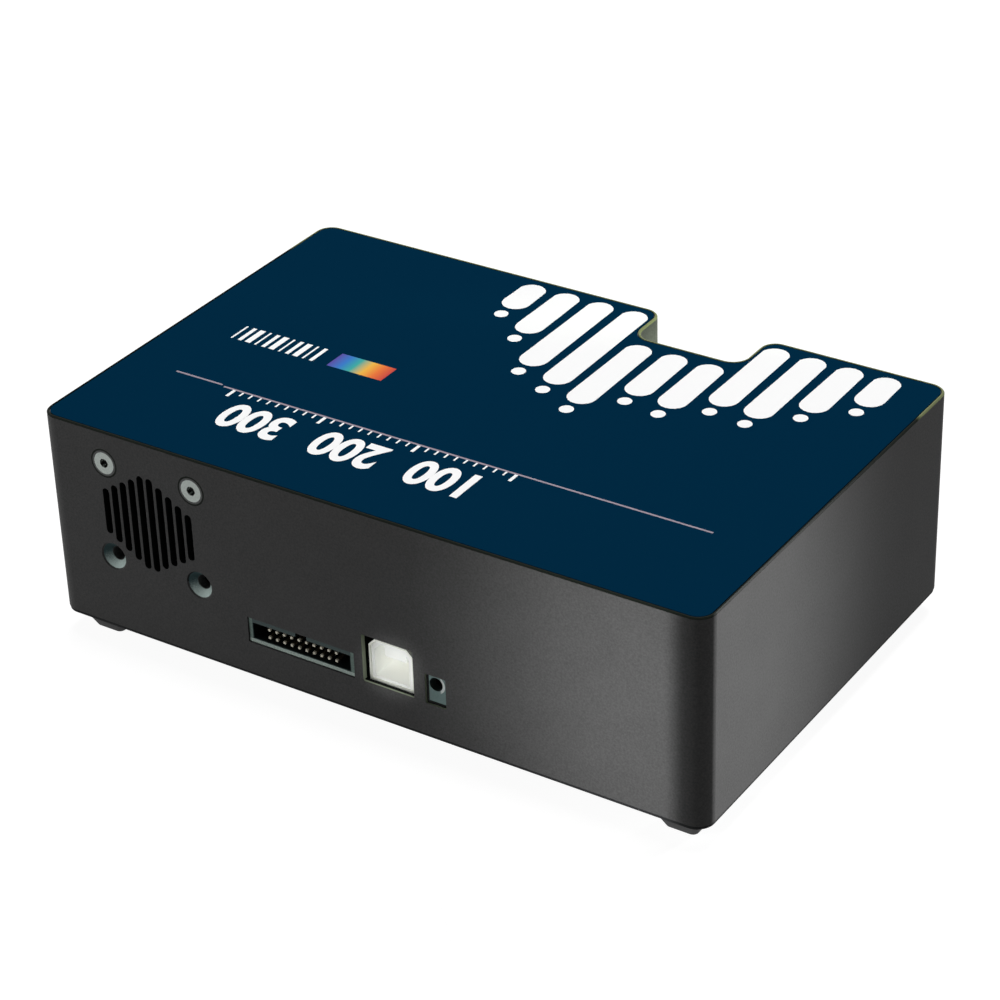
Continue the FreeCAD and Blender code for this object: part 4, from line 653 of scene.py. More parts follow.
@dataclass(frozen=True)
class JackFinish(Finish):
    """Dark moulded plastic with painted shade (black) along its left and lower edges and in the hole, and a
    painted highlight on the right of the hole.
    """

    corner: tuple[float, float] = (16.83, 14.8)
    border: tuple[float, float] = (0.55, 0.6)
    hole: tuple[float, float] = (19.28, 20.0)
    hole_radius: float = 1.65
    # Size and place of the painted highlight beside the hole.
    glint_radius: float = 1.95
    glint_width: float = 0.5
    glint_start: tuple[float, float] = (0.9, 1.4)
    hole_edge: tuple[float, float] = (0.05, -0.02)
    edge: float = 0.15
    # Colours of the painted highlight and of the painted shade.
    lip_and_glint: tuple[float, float, float] = (240, 248, 246)
    dark: tuple[float, float, float] = (8, 10, 10)

    def paint(self, wiring: Wiring, place: bpy.types.NodeSocket) -> object:
        """Lay the painted shade on the edges and in the hole, and the painted highlight beside it, over the
        plastic.

        Args:
            wiring: The material's node tree.
            place: The Object coordinates.

        Returns:
            The colour.
        """
        x, _, z = wiring.split(place)
        colour = linear(*self.colour)
        # Painted shade along the left and lower edges.
        for value, start, width in zip((x, z), self.corner, self.border):
            inner = wiring.near(value, start * MM, width * MM, self.edge * MM)
            colour = wiring.mix(inner, colour, linear(*self.dark))
        dx, dz = (wiring.math("SUBTRACT", value, middle * MM) for value, middle in zip((x, z), self.hole))
        far = wiring.distance(dx, dz)
        # Painted highlight: a crescent on the right of the hole's rim.
        ring = wiring.near(far, self.glint_radius * MM, self.glint_width * MM / 2, self.edge * MM)
        right = wiring.step(dx, *(start * MM for start in self.glint_start))
        colour = wiring.mix(wiring.math("MULTIPLY", ring, right), colour, linear(*self.lip_and_glint))
        # Painted shade: the hole is near black.
        bore = wiring.step(far, *((self.hole_radius + over) * MM for over in self.hole_edge))
        return wiring.mix(bore, colour, linear(*self.dark))


@dataclass(frozen=True)
class GlowingWhiteFinish(Finish):
    """White plastic that glows a little, as painted light, so that its inner walls stay bright."""

    glow: float = 0.07

    def adjust(self, wiring: Wiring, shader: bpy.types.Node, place: bpy.types.NodeSocket) -> None:
        """Let the colour glow a little: painted light."""
        # Painted light: the moulding glows in its own colour, though it is no lamp.
        wiring.feed(shader.inputs["Emission Color"], shader.inputs["Base Color"].links[0].from_socket)
        shader.inputs["Emission Strength"].default_value = self.glow


@dataclass(frozen=True)
class BoardFinish(Finish):
    """Solder mask over copper tracks."""

    track: tuple[float, float, float] = (14, 96, 58)
    pitch: float = 1.27
    patch_scale: float = 70.0
    track_edge: tuple[float, float] = (0.16, 0.13)
    track_share: tuple[float, float] = (0.35, 0.36)

    def paint(self, wiring: Wiring, place: bpy.types.NodeSocket) -> object:
        """Draw straight tracks that change direction from patch to patch.

        Args:
            wiring: The material's node tree.
            place: The Object coordinates.

        Returns:
            The colour.
        """
        x, y, z = wiring.split(place)
        patches = wiring.add("TexVoronoi", feature="F1", distance="CHEBYCHEV")
        wiring.feed(patches.inputs["Vector"], place)
        patches.inputs["Scale"].default_value = self.patch_scale
        choice = wiring.add("SeparateColor")
        wiring.feed(choice.inputs[0], patches.outputs["Color"])
        across = wiring.add("Mix", data_type="FLOAT")
        wiring.feed(across.inputs[0], wiring.math("GREATER_THAN", choice.outputs["Red"], 0.5))
        wiring.feed(across.inputs[2], x)
        wiring.feed(across.inputs[3], wiring.math("ADD", y, z))
        wave = wiring.math("FRACT", wiring.math("DIVIDE", across.outputs[0], self.pitch * MM))
        line = wiring.step(wiring.math("ABSOLUTE", wiring.math("SUBTRACT", wave, 0.5)), *self.track_edge)
        shown = wiring.math("MULTIPLY", line, wiring.step(choice.outputs["Green"], *self.track_share))
        return wiring.mix(shown, linear(*self.colour), linear(*self.track))


@dataclass(frozen=True)
class SpectrumFinish(Finish):
    """Print whose colour runs through the rainbow along X."""

    start: float = 0.0
    length: float = 10.0
    stops: tuple[tuple[float, float, float], ...] = (
        (74, 58, 150), (30, 110, 190), (40, 160, 150), (232, 176, 60), (226, 110, 40), (190, 52, 44),
    )

    def paint(self, wiring: Wiring, place: bpy.types.NodeSocket) -> object:
        """Run a ramp along the strip.

        Args:
            wiring: The material's node tree.
            place: The Object coordinates.

        Returns:
            The colour.
        """
        x, _, _ = wiring.split(place)
        along = wiring.math("DIVIDE", wiring.math("SUBTRACT", x, self.start * MM), self.length * MM)
        ramp = wiring.add("ValToRGB")
        elements = ramp.color_ramp.elements
        last = len(self.stops) - 1
        for index, stop in enumerate(self.stops):
            where = index / last
            if index in (0, last):
                element = elements[0 if index == 0 else -1]
            else:
                element = elements.new(where)
            element.position = where
            element.color = linear(*stop)
        wiring.feed(ramp.inputs["Fac"], along)
        return ramp.outputs["Color"]


@dataclass(frozen=True)
class RuledFinish(Finish):
    """Coated glass with a faint band of colour, as fine ruled lines give it, here a painted sheen."""

    band: float = 9.0
    second: tuple[float, float, float] = (150, 205, 200)

    def paint(self, wiring: Wiring, place: bpy.types.NodeSocket) -> object:
        """Blend two tints over the height of the piece, as a painted sheen.

        Args:
            wiring: The material's node tree.
            place: The Object coordinates.

        Returns:
            The colour.
        """
        _, _, z = wiring.split(place)
        wave = wiring.math("FRACT", wiring.math("DIVIDE", z, self.band * MM))
        tilt = wiring.math("ABSOLUTE", wiring.math("SUBTRACT", wave, 0.5))
        return wiring.mix(wiring.step(tilt, 0.0, 0.5), linear(*self.colour), linear(*self.second))


@dataclass(frozen=True)
class GlassFinish(Finish):
    """Polished clear glass."""

    transmission: float = 0.9
    index: float = 1.5

    def adjust(self, wiring: Wiring, shader: bpy.types.Node, place: bpy.types.NodeSocket) -> None:
        """Let light through."""
        shader.inputs["Transmission Weight"].default_value = self.transmission
        shader.inputs["IOR"].default_value = self.index


# Mesh helpers


def finished(
    name: str, mesh: bmesh.types.BMesh, material: bpy.types.Material, body: Body = Body.CHASSIS
) -> bpy.types.Object:
    """Turn a bmesh in metres into a piece that rides on a body.

    Args:
        name: The piece's name.
        mesh: The shape, which is freed.
        material: Its finish.
        body: The body that it rides on.

    Returns:
        The new object.
    """
    bmesh.ops.remove_doubles(mesh, verts=mesh.verts, dist=MERGE_DISTANCE)
    bmesh.ops.recalc_face_normals(mesh, faces=mesh.faces)
    data = bpy.data.meshes.new(name)
    mesh.to_mesh(data)
    mesh.free()
    data.materials.append(material)
    piece = bpy.data.objects.new(name, data)
    bpy.context.scene.collection.objects.link(piece)
    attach(piece, body.value)
    log.info("%s: %d faces on %s", name, len(data.polygons), body.value)
    return piece


def smooth(piece: bpy.types.Object, degrees: float = 35.0) -> bpy.types.Object:
    """Shade a piece smoothly except across sharp edges.

    Args:
        piece: The piece.
        degrees: The angle past which an edge stays sharp.

    Returns:
        The same piece.
    """
    data = piece.data
    data.polygons.foreach_set("use_smooth", [True] * len(data.polygons))
    data.set_sharp_from_angle(angle=math.radians(degrees))
    return piece


def capsule(
    mesh: bmesh.types.BMesh, centre: Vector, width: float, length: float, height: float, steps: int = 20
) -> None:
    """Add a flat round-ended bar that runs along Y.

    Args:
        mesh: The bmesh to add to.
        centre: The middle of its underside, in metres.
        width: Width in millimetres.
        length: Length over the round ends in millimetres.
        height: Thickness in millimetres.
        steps: Corners of each full circle.
    """
    made = bmesh.ops.create_circle(mesh, cap_ends=True, segments=steps, radius=width * MM / 2)
    reach = max(length - width, 0.0) * MM / 2
    for vert in made["verts"]:
        vert.co.y += reach if vert.co.y > 1e-9 else -reach
        vert.co += centre
    face = made["verts"][0].link_faces[0]
    raised = bmesh.ops.extrude_face_region(mesh, geom=[face])
    top = [item for item in raised["geom"] if isinstance(item, bmesh.types.BMVert)]
    bmesh.ops.translate(mesh, verts=top, vec=Vector((0, 0, height * MM)))


def turned(mesh: bmesh.types.BMesh, profile: list[tuple[float, float]], steps: int) -> None:
    """Spin a closed profile of (radius, height) points in millimetres about Z.

    Args:
        mesh: The bmesh to add to.
        profile: The section's corners in order.
        steps: Facets round the full circle.
    """
    verts = [mesh.verts.new((radius * MM, 0, height * MM)) for radius, height in profile]
    edges = [mesh.edges.new((verts[i - 1], verts[i])) for i in range(len(verts))]
    bmesh.ops.spin(
        mesh, geom=verts + edges, axis=(0, 0, 1), cent=(0, 0, 0), steps=steps, angle=math.tau, use_merge=True
    )


def brick(mesh: bmesh.types.BMesh, middle: Vector, size: tuple[float, float, float]) -> None:
    """Add a block by its middle and size in millimetres."""
    place = Matrix.Translation(middle * MM) @ Matrix.Diagonal((*(side * MM for side in size), 1.0))
    bmesh.ops.create_cube(mesh, size=1.0, matrix=place)


def round_edges(
    mesh: bmesh.types.BMesh, edges: list[bmesh.types.BMEdge], radius: float, segments: int
) -> None:
    """Round edges off by a radius in millimetres.

    Args:
        mesh: The bmesh to change.
        edges: The edges.
        radius: The radius.
        segments: Faces across each rounding.
    """
    bmesh.ops.bevel(
        mesh, geom=edges, offset=radius * MM, affect="EDGES", segments=segments, profile=0.5, material=-1
    )


def wear(effects: Effects, finish: Finish, *names: str) -> bpy.types.Material:
    """Build a finish and give it to carried-over nodes.

    Args:
        effects: The shared surface effects.
        finish: The finish to build.
        names: The nodes that get it.

    Returns:
        The built material.
    """
    material = finish.build(effects)
    for name in names:
        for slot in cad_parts[name].material_slots:
            slot.material = material
        log.info("%s wears %s", name, material.name)
    return material


# Sub-assemblies


@dataclass
class Case:
    """Housing, base plate, screws and feet."""

    fan_centre: tuple[float, float] = (-55.3, 37.3)
    hole_pitch: float = 24.2
    cutouts: tuple[tuple[float, float, float, float], ...] = (
        (7.05, 20.8, 6.65, 6.0), (19.28, 18.4, 2.65, 3.8),
    )
    # Reach of the painted shade on the walls inside the grille.
    grille_radius: float = 15.0
    foot_names: tuple[str, ...] = ("foot_front_left", "foot_front_right", "foot_back_left", "foot_back_right")
    foot_bottom: float = 7.5
    foot_corner: float = 1.3
    sole_round: float = 0.3

    def fan_holes(self, side: int) -> tuple[tuple[float, float], ...]:
        """The centres of two of the fan's holes.

        Args:
            side: 1 for the upper pair, -1 for the lower one.

        Returns:
            Their centres, as (x, z) in millimetres.
        """
        across, up = self.fan_centre
        half = self.hole_pitch / 2
        return (across - half, up + side * half), (across + half, up + side * half)

    def dress(self, effects: Effects) -> None:
        """Finish the carried-over nodes.

        Args:
            effects: The shared surface effects.
        """
        shell = CaseFinish(
            "black_anodising", (88, 88, 88), roughness=0.6, specular=0.06, grain=0.45, contrast=0.85,
            spread=0.12, depth=0.003, cone_centres=self.fan_holes(-1), ring_centres=self.fan_holes(1),
            cutouts=self.cutouts, grille=(*self.fan_centre, self.grille_radius),
        )
        plate = Finish(
            "base_anodising", (44, 45, 46), roughness=0.6, specular=0.06, grain=0.3, contrast=0.3,
            spread=0.1, depth=0.006, scuffs=0.3,
        )
        oxide = Finish("black_oxide", (30, 31, 34), roughness=0.35, metallic=0.8, grain=0.15, contrast=0.5)
        bright = SocketScrewFinish(
            "screw_steel", (206, 216, 210), roughness=0.4, metallic=0.15, grain=0.5, contrast=0.45,
            centres=self.fan_holes(1),
        )
        wear(effects, shell, "housing")
        wear(effects, plate, "base_plate")
        wear(effects, oxide, "case_screws", "pillar_screws")
        wear(effects, bright, "fan_screws")

    def make_feet(self, effects: Effects) -> None:
        """Replace each plain foot by a moulded one with rounded edges.

        Args:
            effects: The shared surface effects.
        """
        rubber = Finish(
            "foot_rubber", (26, 26, 27), roughness=0.75, specular=0.35, grain=0.35, contrast=0.4, depth=0.012,
        ).build(effects)
        for name in self.foot_names:
            low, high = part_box(name)
            middle, size = (low + high) / 2, high - low
            mesh = bmesh.new()
            bmesh.ops.create_cube(mesh, size=1.0)
            bmesh.ops.scale(mesh, vec=size, verts=mesh.verts)
            bmesh.ops.translate(mesh, vec=middle, verts=mesh.verts)
            sole = [vert for vert in mesh.verts if vert.co.z < middle.z]
            share = self.foot_bottom * MM / size.x
            bmesh.ops.scale(mesh, vec=(share, share, 1), verts=sole, space=Matrix.Translation(-middle))
            upright = [e for e in mesh.edges if abs(e.verts[0].co.z - e.verts[1].co.z) > size.z / 2]
            round_edges(mesh, upright, self.foot_corner, segments=6)
            rim = [e for e in mesh.edges if max(v.co.z for v in e.verts) < low.z + 0.1 * MM]
            round_edges(mesh, rim, self.sole_round, segments=4)
            piece = smooth(finished(name + "_moulded", mesh, rubber), degrees=50.0)
            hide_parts(name)


@dataclass
class Label:
    """Printed film on the lid: bars, rules, a scale with plain numbers, and a strip of spectrum colours."""

    ink: float = 0.02
    bar_width: float = 7.0
    bar_pitch: float = 9.3
    bar_middle: float = 25.4
    first_bar: int = -5
    last_bar: int = 5
    back_row: float = 52.4
    bay_row: float = 38.4
    bay_bars: int = 1
    bar_base: float = 10.0
    peaks: tuple[tuple[float, float], ...] = ((30.0, -2.2), (22.0, 2.6))
    peak_spread: float = 1.9
    dot_gap: float = 3.2
    dot_size: float = 3.4
    rule_y: float = -24.9
    rule_start: float = -56.2
    rule_end: float = 69.6
    short_rule: tuple[float, float, float] = (-70.1, -57.0, -24.4)
    rule_width: float = 0.55
    major_pitch: float = 25.0
    minor_count: int = 10
    major_tick: tuple[float, float] = (0.8, 3.0)
    minor_tick: tuple[float, float] = (0.45, 1.6)
    scale_start: float = -53.0
    numbers: tuple[str, ...] = ("300", "200", "100")
    numeral_height: float = 9.6
    numeral_squeeze: float = 0.84
    numeral_weight: float = 0.45
    numeral_drop: float = 5.0
    capital_share: float = 0.7
    strip: tuple[float, float, float, float] = (-34.5, -2.0, 15.0, 6.4)
    line_start: float = -69.0
    line_pitch: float = 2.25
    line_count: int = 11
    line_width: float = 0.5

    def dress(self, effects: Effects) -> None:
        """Finish the film.

        Args:
            effects: The shared surface effects.
        """
        film = Finish(
            "printed_film", (2, 41, 65), roughness=0.6, specular=0.0, grain=0.12, contrast=0.08, spread=0.05,
            depth=0.001,
        )
        wear(effects, film, "top_label")

    def bar_length(self, index: int) -> float:
        """How long one bar is: two soft peaks on a low base.

        Args:
            index: The bar's place, counted from the middle one.

        Returns:
            The length in millimetres.
        """
        heights = (
            height * math.exp(-(((index - middle) / self.peak_spread) ** 2)) for height, middle in self.peaks
        )
        return sum(heights, self.bar_base)

    def make_print(self, effects: Effects) -> None:
        """Lay the ink on the film as thin raised shapes.

        Args:
            effects: The shared surface effects.
        """
        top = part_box("top_label")[1].z
        white, grey = (
            Finish(
                name, colour, roughness=0.5, specular=0.2, grain=0.12, contrast=contrast, depth=0.001,
            ).build(effects)
            for name, colour, contrast in (
                ("white_ink", (250, 250, 250), 0.04), ("grey_ink", (150, 138, 150), 0.06),
            )
        )
        self._bars(top, white)
        self._rules(top, grey)
        self._scale(top, white)
        self._lines(top, white)
        self._strip(top, effects)

    def _bars(self, top: float, ink: bpy.types.Material) -> None:
        """A row of round-ended bars that hang from the back edge, each with a dot under it.

        Args:
            top: Height of the film's face, in metres.
            ink: The ink.
        """
        mesh = bmesh.new()
        for index in range(self.first_bar, self.last_bar + 1):
            across = self.bar_middle + index * self.bar_pitch
            start = self.bay_row if abs(index) <= self.bay_bars else self.back_row
            length = self.bar_length(index)
            middle = Vector((across * MM, (start - length / 2) * MM, top))
            capsule(mesh, middle, self.bar_width, length, self.ink)
            dot = Vector((across * MM, (start - length - self.dot_gap) * MM, top))
            capsule(mesh, dot, self.dot_size, self.dot_size, self.ink)
        finished("label_bars", mesh, ink)

    def _rules(self, top: float, ink: bpy.types.Material) -> None:
        """The long and the short rule.

        Args:
            top: Height of the film's face, in metres.
            ink: The ink.
        """
        mesh = bmesh.new()
        for start, end, along in ((self.rule_start, self.rule_end, self.rule_y), self.short_rule):
            self._block(mesh, (start + end) / 2, along, end - start, self.rule_width, top)
        finished("label_rules", mesh, ink)

    def _block(
        self, mesh: bmesh.types.BMesh, x: float, y: float, width: float, depth: float, top: float
    ) -> None:
        """Add one flat rectangle of ink, centred at x and y."""
        brick(mesh, Vector((x, y, top / MM + self.ink / 2)), (width, depth, self.ink))

    def _scale(self, top: float, ink: bpy.types.Material) -> None:
        """Ticks along the long rule, with plain numbers at the long ones.

        Args:
            top: Height of the film's face, in metres.
            ink: The ink.
        """
        mesh = bmesh.new()
        minor = self.major_pitch / self.minor_count
        for tick in range(len(self.numbers) * self.minor_count + 1):
            width, length = self.minor_tick if tick % self.minor_count else self.major_tick
            x = self.scale_start + tick * minor
            y = self.rule_y - self.rule_width / 2 - length / 2
            self._block(mesh, x, y, width, length, top)
        finished("label_ticks", mesh, ink)
        for step, number in enumerate(self.numbers):
            self._number(number, self.scale_start + (step + 0.5) * self.major_pitch, top, ink)

    def _number(self, text: str, across: float, top: float, ink: bpy.types.Material) -> None:
        """One number, read from the side of the fibre bay.

        Args:
            text: The number.
            across: Its middle along X, in millimetres.
            top: Height of the film's face, in metres.
            ink: The ink.
        """
        curve = bpy.data.curves.new("number", "FONT")
        curve.body = text
        curve.size = self.numeral_height * MM / self.capital_share
        curve.offset = self.numeral_weight * MM
        curve.align_x = "CENTER"
        curve.extrude = self.ink * MM / 2
        curve.resolution_u = 6
        holder = bpy.data.objects.new("number", curve)
        mesh = bmesh.new()
        mesh.from_mesh(bpy.data.meshes.new_from_object(holder))
        bpy.data.objects.remove(holder)
        base = self.rule_y - self.numeral_drop
        place = Matrix.Translation((across * MM, base * MM, top + self.ink * MM / 2))
        turn = Matrix.Rotation(math.pi, 4, "Z") @ Matrix.Diagonal((self.numeral_squeeze, 1.0, 1.0, 1.0))
        bmesh.ops.transform(mesh, matrix=place @ turn, verts=mesh.verts)
        finished(f"label_number_{text}", mesh, ink)

    def _lines(self, top: float, ink: bpy.types.Material) -> None:
        """A pattern of upright lines in three widths beside the strip, as a line spectrum has.

        Args:
            top: Height of the film's face, in metres.
            ink: The ink.
        """
        mesh = bmesh.new()
        for index in range(self.line_count):
            width = self.line_width * (1 + index * 7 % 3)
            x = self.line_start + index * self.line_pitch
            self._block(mesh, x, self.strip[1], width, self.strip[3], top)
        finished("label_lines", mesh, ink)

    def _strip(self, top: float, effects: Effects) -> None:
        """A short strip of spectrum colours.

        Args:
            top: Height of the film's face, in metres.
            effects: The shared surface effects.
        """
        x, y, length, depth = self.strip
        colours = SpectrumFinish(
            "spectrum_ink", (128, 128, 128), roughness=0.5, specular=0.2, grain=0.12, contrast=0.04,
            depth=0.001, start=x - length / 2, length=length,
        ).build(effects)
        mesh = bmesh.new()
        self._block(mesh, x, y, length, depth, top)
        finished("label_spectrum", mesh, colours)


@dataclass
class Sockets:
    """Header, data socket and power socket."""

    def dress(self, effects: Effects) -> None:
        """Finish the carried-over nodes.

        Args:
            effects: The shared surface effects.
        """
        shroud = ShroudFinish(
            "header_plastic", (58, 76, 76), roughness=0.4, specular=0.2, grain=0.35, contrast=0.9,
        )
        clip = Finish("clip_plastic", (34, 38, 38), roughness=0.45, specular=0.4, grain=0.2, contrast=0.3)
        pins = PinFinish(
            "pin_plate", (236, 230, 210), roughness=0.4, metallic=0.1, grain=0.1, contrast=0.15,
        )
        gold = Finish("gold_plate", (226, 196, 140), roughness=0.35, metallic=0.8, grain=0.1, contrast=0.15)
        shell = Finish(
            "tinned_steel", (232, 234, 226), roughness=0.32, metallic=0.5, grain=0.2, contrast=0.15,
            stretch=(1, 6, 1),
        )
        # The white moulding glows a little: painted light.
        white = GlowingWhiteFinish(
            "white_moulding", (250, 252, 248), roughness=0.45, specular=0.4, grain=0.3, contrast=0.04,
        )
        jack = JackFinish(
            "jack_plastic", (134, 158, 156), roughness=0.4, specular=0.06, grain=0.25, contrast=0.4,
        )
        # Painted shade: the sleeve deep in the jack's hole is near black.
        sleeve = Finish(
            "sleeve_painted_shade", (20, 22, 23), roughness=0.4, metallic=0.3, grain=0.2, contrast=0.3,
            stretch=(1, 6, 1),
        )
        wear(effects, shroud, "io_header_shroud")
        wear(effects, clip, "detector_flex_socket", "board_flex_socket")
        wear(effects, pins, "io_header_pins")
        wear(effects, gold, "usb_contacts", "dc_jack_pin")
        wear(effects, shell, "usb_shell")
        wear(effects, sleeve, "dc_jack_sleeve")
        wear(effects, white, "usb_insert")
        wear(effects, jack, "dc_jack_body")


@dataclass
class Fan:
    """The cooling fan behind the grille."""

    def dress(self, effects: Effects) -> None:
        """Finish the carried-over nodes.

        Args:
            effects: The shared surface effects.
        """
        plastic = Finish("fan_plastic", (14, 14, 15), roughness=0.5, specular=0.4, grain=0.3, contrast=0.25)
        steel = Finish(
            "shaft_steel", (186, 194, 188), roughness=0.38, metallic=0.9, grain=0.12, contrast=0.25,
        )
        iron = Finish(
            "core_iron", (70, 72, 76), roughness=0.45, metallic=0.9, grain=0.15, contrast=0.3,
            stretch=(1, 12, 1),
        )
        magnet = Finish(
            "magnet_ferrite", (52, 50, 50), roughness=0.6, metallic=0.2, grain=0.3, contrast=0.4,
        )
        bronze = Finish(
            "bearing_bronze", (176, 128, 72), roughness=0.4, metallic=1.0, grain=0.15, contrast=0.3,
        )
        board = BoardFinish("fan_board", (10, 60, 36), roughness=0.35, grain=0.2)
        wear(effects, plastic, "fan_frame", "fan_rotor")
        wear(effects, steel, "fan_shaft")
        wear(effects, iron, "fan_stator")
        wear(effects, magnet, "fan_magnet")
        wear(effects, bronze, "fan_bearing")
        wear(effects, board, "fan_circuit_board")


@dataclass
class Electronics:
    """Main board and what stands on it."""

    leads_per_side: int = 16
    lead_pitch: float = 0.8
    lead_width: float = 0.36
    lead_reach: float = 1.1
    lead_thickness: float = 0.15
    solder: float = 0.02
    dot_inset: float = 1.6
    dot_size: float = 1.0
    dot_ink: float = 0.02
    part_size: tuple[float, float, float] = (1.6, 0.8, 0.45)
    body_share: float = 0.56
    end_share: float = 0.22
    part_pitch: float = 2.6
    part_rows: tuple[tuple[float, float, int], ...] = (
        (-7.0, -20.0, 6), (-7.0, -22.4, 6), (10.0, -12.0, 4), (10.0, -9.6, 4), (10.0, -7.2, 4),
    )

    def dress(self, effects: Effects) -> None:
        """Finish the carried-over nodes.

        Args:
            effects: The shared surface effects.
        """
        board = BoardFinish("board_mask", (8, 72, 42), roughness=0.35, grain=0.2)
        chip = Finish("chip_moulding", (34, 34, 36), roughness=0.55, grain=0.25, contrast=0.3)
        ferrite = Finish("choke_ferrite", (58, 58, 60), roughness=0.6, grain=0.25, contrast=0.35)
        brass = Finish("turned_brass", (200, 164, 92), roughness=0.3, metallic=1.0, grain=0.2)
        wear(effects, board, "main_board", "detector_board")
        wear(effects, chip, "processor_chip")
        wear(effects, ferrite, "power_inductor")
        wear(effects, brass, "board_standoffs")

    def make_parts(self, effects: Effects) -> None:
        """Solder the small parts to the board.

        Args:
            effects: The shared surface effects.
        """
        tin = Finish(
            "solder_tin", (190, 192, 194), roughness=0.3, metallic=1.0, grain=0.1, contrast=0.2,
        ).build(effects)
        low, high = (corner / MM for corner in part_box("processor_chip"))
        self._leads(low, high, tin)
        self._dot(low, high, effects)
        self._chip_parts(low.z, tin, effects)

    def _leads(self, low: Vector, high: Vector, tin: bpy.types.Material) -> None:
        """The leads round the processor.

        Args:
            low: The processor's lowest corner, in millimetres.
            high: The processor's highest corner, in millimetres.
            tin: The leads' finish.
        """
        leads = bmesh.new()
        reach = (high - low) / 2 + Vector((self.lead_reach, self.lead_reach, 0.0)) / 2
        for side in (-1, 1):
            for lead in range(self.leads_per_side):
                along = (lead - (self.leads_per_side - 1) / 2) * self.lead_pitch
                for across, deep in ((side, 0), (0, side)):
                    middle = (low + high) / 2
                    middle.x += across * reach.x + (along if deep else 0)
                    middle.y += deep * reach.y + (along if across else 0)
                    middle.z = low.z + self.lead_thickness / 2 + self.solder
                    size = (self.lead_reach, self.lead_width)
                    brick(leads, middle, (*(size if across else size[::-1]), self.lead_thickness))
        finished("processor_leads", leads, tin)

    def _dot(self, low: Vector, high: Vector, effects: Effects) -> None:
        """The dot beside the processor's first lead.

        Args:
            low: The processor's lowest corner, in millimetres.
            high: The processor's highest corner, in millimetres.
            effects: The shared surface effects.
        """
        ink = Finish("chip_ink", (170, 172, 170), roughness=0.6, grain=0.1, contrast=0.1).build(effects)
        dot = bmesh.new()
        place = Vector((low.x + self.dot_inset, high.y - self.dot_inset, high.z)) * MM
        capsule(dot, place, self.dot_size, self.dot_size, self.dot_ink)
        finished("processor_dot", dot, ink)

    def _chip_parts(self, board_top: float, tin: bpy.types.Material, effects: Effects) -> None:
        """Rows of small ceramic parts with a tinned cap at each end.

        Args:
            board_top: Height of the board's face, in millimetres.
            tin: The caps' finish.
            effects: The shared surface effects.
        """
        ceramic = Finish(
            "chip_capacitor", (150, 118, 84), roughness=0.5, grain=0.1, contrast=0.2,
        ).build(effects)
        bodies, caps = bmesh.new(), bmesh.new()
        length, width, height = self.part_size
        end_place = (self.body_share + self.end_share) / 2
        for start_x, start_y, count in self.part_rows:
            for step in range(count):
                place = (start_x + step * self.part_pitch, start_y, board_top + height / 2 + self.solder)
                middle = Vector(place)
                brick(bodies, middle, (length * self.body_share, width, height))
                for end in (-1, 1):
                    aside = Vector((end * length * end_place, 0, 0))
                    brick(caps, middle + aside, (length * self.end_share, width, height))
        finished("chip_part_bodies", bodies, ceramic)
        finished("chip_part_ends", caps, tin)


@dataclass
class Bench:
    """Sealed optical bench, optics, detector and cooler."""

    def dress(self, effects: Effects) -> None:
        """Finish the carried-over nodes.

        Args:
            effects: The shared surface effects.
        """
        dark = Finish(
            "bench_anodising", (30, 30, 31), roughness=0.6, specular=0.25, grain=0.3, contrast=0.3,
            depth=0.006,
        )
        bare = Finish(
            "machined_aluminium", (196, 198, 200), roughness=0.35, metallic=1.0, grain=0.2, contrast=0.2,
            stretch=(1, 1, 8),
        )
        steel = Finish(
            "inner_screw_steel", (170, 172, 174), roughness=0.35, metallic=1.0, grain=0.15, contrast=0.25,
        )
        mirror = Finish(
            "mirror_coating", (232, 234, 236), roughness=0.04, metallic=1.0, grain=0.5, contrast=0.02,
            depth=0.0,
        )
        ruled = RuledFinish("ruled_coating", (208, 190, 222), roughness=0.15, metallic=1.0, depth=0.0)
        glass = GlassFinish("window_glass", (235, 245, 242), roughness=0.02, contrast=0.0, depth=0.0)
        ceramic = Finish("white_ceramic", (214, 210, 200), roughness=0.5, grain=0.2, contrast=0.1)
        package = Finish("detector_ceramic", (60, 46, 40), roughness=0.45, grain=0.2, contrast=0.15)
        film = Finish("polyimide_film", (176, 96, 28), roughness=0.3, grain=0.2, contrast=0.15)
        mounts = ("collimator_mount", "grating_mount", "focusing_mount", "slit_holder", "light_baffle")
        wear(effects, dark, "bench_body", "bench_cover", *mounts)
        wear(effects, bare, "bench_pillars", "sink_spacers", "heat_sink", "cold_plate")
        screws = ("board_screws", "bench_screws", "cover_screws", "optic_screws", "sink_screws")
        wear(effects, steel, *screws, "slit_disc")
        wear(effects, mirror, "collimating_mirror", "focusing_mirror")
        wear(effects, ruled, "diffraction_grating")
        wear(effects, glass, "detector_window", "order_filter")
        wear(effects, ceramic, "peltier_module")
        wear(effects, package, "detector_array")
        wear(effects, film, "detector_flex")


